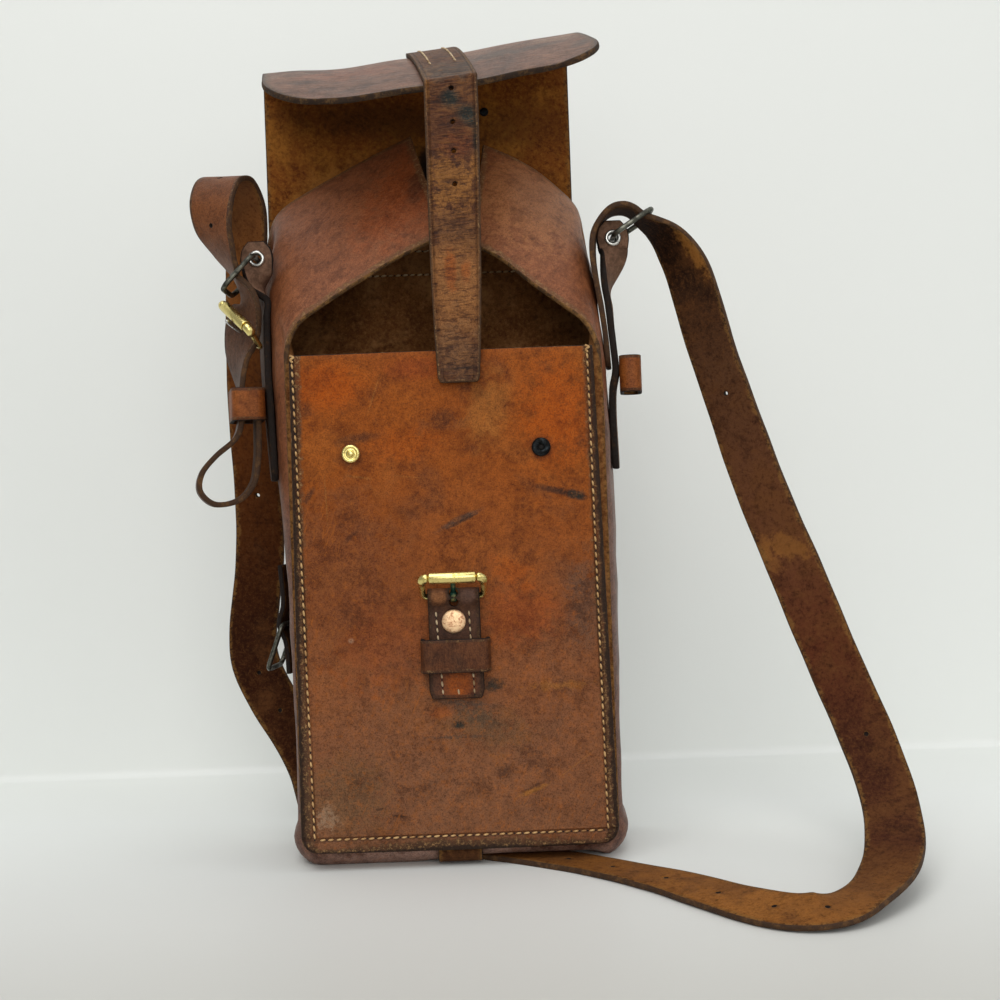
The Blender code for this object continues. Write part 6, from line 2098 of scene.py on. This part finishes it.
@dataclass
class SideFittings:
    """Tab with its lug and eyelet, ring and keeper on one side of the bag."""

    shop: Workshop
    side: Side
    skin: BVHTree
    half: float = 11.0
    wire: float = 1.4
    ring_size: tuple[float, float, float] = (31.0, 23.4, 5.0)
    tab_rows: tuple = (
        (199.0, 12.0, 0.0, 0.0), (205.0, 20.0, 0.0, 0.0), (226.0, 22.0, 0.0, 0.0),
        (240.0, 22.0, 0.3, 0.0), (250.0, 22.0, 1.0, 0.2), (262.0, 22.0, 1.0, 0.2),
        (273.0, 21.0, 1.0, 0.2), (284.0, 19.0, 1.0, 0.6), (295.0, 16.5, 1.0, 1.6),
    )
    lug_rows: tuple = (
        (-10.0, 14.5, 0.6), (-4.5, 15.0, 0.92), (0.0, 16.0, 1.0), (5.0, 14.0, 1.0),
        (8.8, 8.0, 1.0),
    )

    @property
    def word(self) -> str:
        """Name of the side."""
        return self.side.name.lower()

    @property
    def lug(self) -> Array:
        """Middle of the eyelet."""
        left = self.side is Side.LEFT
        return np.array((-97.2, -6.0, 315.4) if left else (90.7, -2.0, 320.3))

    def seat_at(self, depth: float, height: float) -> tuple[Array, Array, Array]:
        """Seat on the gusset's side.

        Args:
            depth: Y of the seat's middle.
            height: its Z.

        Returns:
            The point, the direction along the depth and the way out.
        """
        sign = self.side.value
        hits = []
        for step in np.linspace(-self.half, self.half, 9):
            start = Vector((sign * 200.0, depth + step, height)) * MM
            hits.append(np.array(self.skin.ray_cast(start, Vector((-sign, 0, 0)))[0]) / MM)
        hits = np.array(hits)
        along = unit((hits[-1] - hits[0]) * np.array([1.0, 1.0, 0.0]))
        out = sign * np.array([along[1], -along[0], 0.0])
        middle = (hits[0] + hits[-1]) / 2
        return middle + out * float(((hits - middle) @ out).max()), along, out

    def tab(self) -> None:
        """Strip on the side whose head turns to the front round the eyelet."""
        spare = 0.0 if self.side is Side.LEFT else STRAP_THICK + GAP
        rows, lean = [], 0.0
        for height, width, share, lift in self.tab_rows:
            spot, along, out = self.seat_at(0.0, height)
            spot = spot + out * (GAP + TAB_THICK / 2 + spare * share + lift)
            rows.append((*spot, *along, width))
            lean = math.atan2(along[0], along[1])
        for rise, width, turn in self.lug_rows:
            angle = lean + turn * (math.pi / 2 - lean)
            x, y, z = self.lug
            rows.append((x, y, z + rise, math.sin(angle), math.cos(angle), 0.0, width))
        route = smooth_rows(rows, 7)
        centre, across = route[:, :3], route[:, 3:6]
        along = unit(np.gradient(centre, axis=0))
        across = unit(across - along * np.sum(along * across, axis=1, keepdims=True))
        place = np.linspace(-0.5, 0.5, 13)
        mid = centre[:, None] + across[:, None] * (route[:, 6:7] * place)[..., None]
        side = np.minimum(side_distance(mid), border_distances(mid)["first"])
        item = leather(f"side_tab_{self.word}_hide", mid, TAB_THICK,
                       self.shop.wall("tab_hide", "tab_hide", "tab_rim"),
                       seam=np.abs(side - 2.4))
        self.shop.punch(item, [pin(self.lug, TO_BACK, 3.1, 20, 24)])
        seat(item, "brown_leather", f"side_tab_{self.word}")
        flat = TAB_THICK / 2 + GAP
        rim = ((2.4, 0.5), (2.7, 0.85), (3.5, 1.0), (4.2, 0.7), (4.4, 0.2), (4.3, 0.0), (2.9, 0.0))
        profile = [(radius, -flat - rise) for radius, rise in rim]
        profile += [(radius, flat + rise) for radius, rise in rim[::-1]]
        self.shop.fit(f"tab_eyelet_{self.word}_turned", turned(profile, self.lug, TO_BACK, 40),
                      "steel", "dark_steel", f"tab_eyelet_{self.word}")

    def ring(self) -> None:
        """Ring through the eyelet that holds the shoulder strap."""
        way = (-0.69, 0.0, -0.72) if self.side is Side.LEFT else (0.845, 0.0, 0.534)
        reach = unit(np.array(way))
        path = denser(rounded_frame(self.lug, TO_BACK, reach, *self.ring_size), 0.8)
        wire = tube(path, np.cross(TO_BACK, reach), self.wire, 16, True)
        self.shop.fit(f"strap_ring_{self.word}_wire", wire, "dark_steel", "dark_steel",
                      f"strap_ring_{self.word}")

    def keeper(self) -> None:
        """Closed band outside the tab; the left one holds the strap's tail."""
        left = self.side is Side.LEFT
        bottom, top = (230.5, 247.0) if left else (238.5, 257.0)
        room, half, corner = (15.5, 16.3, 3.6) if left else (9.5, 14.0, 4.0)
        spare = 0.0 if left else STRAP_THICK + GAP
        spot, along, out = self.seat_at(0.0, top)
        near = spot + out * (GAP + TAB_THICK + 2 * GAP + KEEPER_THICK / 2 + spare)
        near[2] = 0.0
        path = denser(rounded_frame(near, along, out, 2 * half, room, corner), 0.8)
        height = np.linspace(bottom, top, 9)
        mid = np.repeat(path[:, None], len(height), axis=1)
        mid[..., 2] = height
        item = leather(f"side_keeper_{self.word}_hide", mid, KEEPER_THICK,
                       self.shop.wall("keeper_hide", "strap_flesh", "dark_rim"),
                       flip=not left, closed=True)
        seat(item, "brown_leather", f"side_keeper_{self.word}")

    def build(self) -> None:
        """All fittings of the side."""
        self.tab()
        self.ring()
        self.keeper()


@dataclass
class DropRing:
    """Low on the left side: a sewn strip with a hump, and the ring that hangs from it."""

    shop: Workshop
    left: SideFittings
    depth: float = 20.0
    bar_height: float = 121.5
    width: float = 19.0
    hump: float = 7.0
    wire: float = 1.35
    ring_size: tuple[float, float, float] = (27.0, 25.0, 4.0)
    heights: tuple = (153.0, 145.0, 137.0, 131.5, 127.0, 124.5, 121.5, 118.5, 116.0, 111.5,
                      106.0, 100.0, 95.0)

    def build(self) -> None:
        """Strip and ring."""
        spot, along, out = self.left.seat_at(self.depth, self.bar_height)
        bar = spot + out * (self.wire + 2 * GAP)
        crest = 2 * self.wire + 3 * GAP + CHAPE_THICK / 2
        base = GAP + CHAPE_THICK / 2
        rows = []
        for height in self.heights:
            here = self.left.seat_at(self.depth, height)[0]
            rise = math.exp(-((height - self.bar_height) / self.hump) ** 2)
            here = here + out * (base + (crest - base) * rise)
            rows.append([here + along * self.width / 2 * s for s in (-1, 0, 1)])
        mid = refine(np.array(rows), 5, 6)
        item = leather("drop_strip_hide", mid, CHAPE_THICK,
                       self.shop.wall("tab_hide", "strap_flesh", "dark_rim"), flip=True)
        seat(item, "dark_leather", "drop_ring_loop")
        hang = unit(np.array([-0.34, 0.0, -0.94]))
        path = denser(rounded_frame(bar, along, hang, *self.ring_size), 0.8)
        self.shop.fit("drop_ring_wire", tube(path, np.cross(along, hang), self.wire, 16, True),
                      "dark_steel", "dark_steel", "drop_ring", body="drop_ring")


@dataclass
class BottomKeeper:
    """Short loop of leather below the front's bottom edge."""

    shop: Workshop
    thick: float = 1.9
    path: tuple = ((-37.6, 9.6), (-37.9, 6.6), (-36.9, 4.1), (-34.6, 2.7), (-31.0, 2.45))

    def build(self) -> None:
        """The loop."""
        grid = np.array([[(x, y, z) for x in (-11.2, 0.0, 10.4)] for y, z in self.path])
        item = leather("bottom_keeper_hide", refine(grid, 6, 6), self.thick,
                       self.shop.wall("keeper_hide", "strap_flesh", "dark_rim"), flip=True)
        seat(item, "dark_leather", "bottom_keeper")


def strap_buckle(shop: Workshop) -> Buckle:
    """The fastened buckle round the strap's left end, askew as it hangs.

    Args:
        shop: the finishes.

    Returns:
        The buckle, not yet built.
    """
    side = unit(np.array([0.564, -0.628, -0.537]))
    reach = np.array([-0.28, -0.757, 0.59])
    reach = unit(reach - side * np.dot(side, reach))
    heel = np.array([-106.5, -7.0, 280.6]) - reach * Buckle.length / 2
    lift = math.radians(17.5)
    way = reach * math.cos(lift) + np.cross(side, reach) * math.sin(lift)
    return Buckle(shop, "strap_buckle", heel, side, reach, way, 17.5, "steel", "steel",
                  ("bag", "bag", "bag"))


@dataclass
class Studio:
    """Camera at the photograph's place, pale floor and wall, soft lights."""

    eye: tuple[float, float, float] = (0.0261, -0.797, 0.1841)
    roll: float = -2.1
    lens: float = 54.07
    wall_y: float = 0.25

    def camera(self) -> None:
        """Level camera that looks along +Y, with a little roll."""
        data = bpy.data.cameras.new("camera")
        data.lens = self.lens
        data.sensor_width = 36.0
        item = bpy.data.objects.new("camera", data)
        item.matrix_world = (Matrix.Translation(self.eye)
                             @ Matrix.Rotation(math.radians(90), 4, "X")
                             @ Matrix.Rotation(math.radians(self.roll), 4, "Z"))
        bpy.context.scene.collection.objects.link(item)
        bpy.context.scene.camera = item

    def room(self) -> None:
        """Floor and wall as one swept sheet, with a small cove between them."""
        angle = np.radians(np.arange(0, 91, 15))
        cove = 6.0
        wall = self.wall_y / MM
        y = np.concatenate([[-3000.0], wall - cove + cove * np.sin(angle), [wall]])
        z = np.concatenate([[0.0], cove - cove * np.cos(angle), [2600.0]])
        grid = xyz(np.array([-3000.0, 3000.0]), y[:, None], z[:, None])
        number = np.arange(2 * len(y)).reshape(-1, 2)
        faces = np.stack([number[:-1, 0], number[:-1, 1], number[1:, 1], number[1:, 0]], -1)
        item = new_object("floor", grid.reshape(-1, 3), faces.tolist(), [self.paint()])

    def paint(self) -> Material:
        """Pale matt paint, with painted shade that darkens the floor towards the front.

        Returns:
            The material.
        """
        nodes = Nodes("studio_paint")
        # Painted shade: the floor grows darker towards the front
        place = nodes.step(nodes.axis(nodes.place, "Y"), -0.5, 0.24)
        colour = nodes.spread(place, [(0.0, (0.44, 0.425, 0.385)), (0.5, (0.68, 0.685, 0.66)),
                                      (0.9, (0.81, 0.83, 0.81)), (1.0, (0.82, 0.84, 0.81))])
        self.open_back(nodes)
        return nodes.finish(colour, 0.5)

    def open_back(self, nodes: Nodes) -> None:
        """Clear from behind, so that views from the back and from below show the bag.

        The sheet is open and its faces point away from the bag, so the bag's side of it
        is the backfacing one.

        Args:
            nodes: of the paint.
        """
        blend = nodes.add("MixShader", {0: nodes.add("NewGeometry", {}).outputs["Backfacing"],
                                        1: nodes.add("BsdfTransparent", {}).outputs[0],
                                        2: nodes.shader.outputs[0]})
        nodes.put(nodes.tree.nodes["Material Output"].inputs["Surface"], blend.outputs[0])

    def light(self, name: str, at: Sequence[float], size: float, power: float,
              colour: Colour = (1.0, 1.0, 1.0)) -> None:
        """Square area light that looks at the bag's middle.

        Args:
            name: of the light.
            at: its place.
            size: its side.
            power: in watts.
            colour: of the light.
        """
        data = bpy.data.lights.new(name, "AREA")
        data.shape = "SQUARE"
        data.size = size
        data.energy = power
        data.color = tuple(colour)
        item = bpy.data.objects.new(name, data)
        item.location = at
        look = Vector((0.0, 0.0, 0.2)) - Vector(at)
        item.rotation_euler = look.to_track_quat("-Z", "Y").to_euler()
        bpy.context.scene.collection.objects.link(item)

    def build(self) -> None:
        """Camera, room, four lights and an even sky."""
        self.camera()
        self.room()
        self.light("key", (-0.5, -1.3, 1.9), 1.4, 17.5, (1.0, 0.985, 0.96))
        self.light("front", (0.12, -1.6, 0.6), 0.9, 7.0, (1.0, 0.98, 0.95))
        self.light("fill", (1.5, -1.1, 1.0), 1.6, 6.0)
        self.light("top", (0.1, -0.1, 1.9), 1.4, 7.5)
        world = bpy.data.worlds.new("sky")
        world.use_nodes = True
        sky = world.node_tree.nodes["Background"]
        sky.inputs["Color"].default_value = (0.93, 0.96, 1.0, 1.0)
        sky.inputs["Strength"].default_value = 0.37
        bpy.context.scene.world = world
        bpy.context.scene.view_settings.view_transform = "Standard"


def main() -> None:
    """Build the bag, then the studio."""
    logging.basicConfig(level=logging.INFO, format="%(message)s")
    shop = Workshop()
    shop.stock()
    FrontPanel(shop).build()
    BackPanel(shop).build()
    skin = Gusset(shop).build()
    lid = Lid(shop)
    lid.build()
    ClosingStrap(shop, lid).build()
    FrontFastening(shop).build()
    Snaps(shop).build()
    sides = {side: SideFittings(shop, side, skin) for side in Side}
    for fittings in sides.values():
        fittings.build()
    DropRing(shop, sides[Side.LEFT]).build()
    BottomKeeper(shop).build()
    ShoulderStrap(shop).build()
    strap_buckle(shop).build()
    Studio().build()


if __name__ == "__main__":
    main()
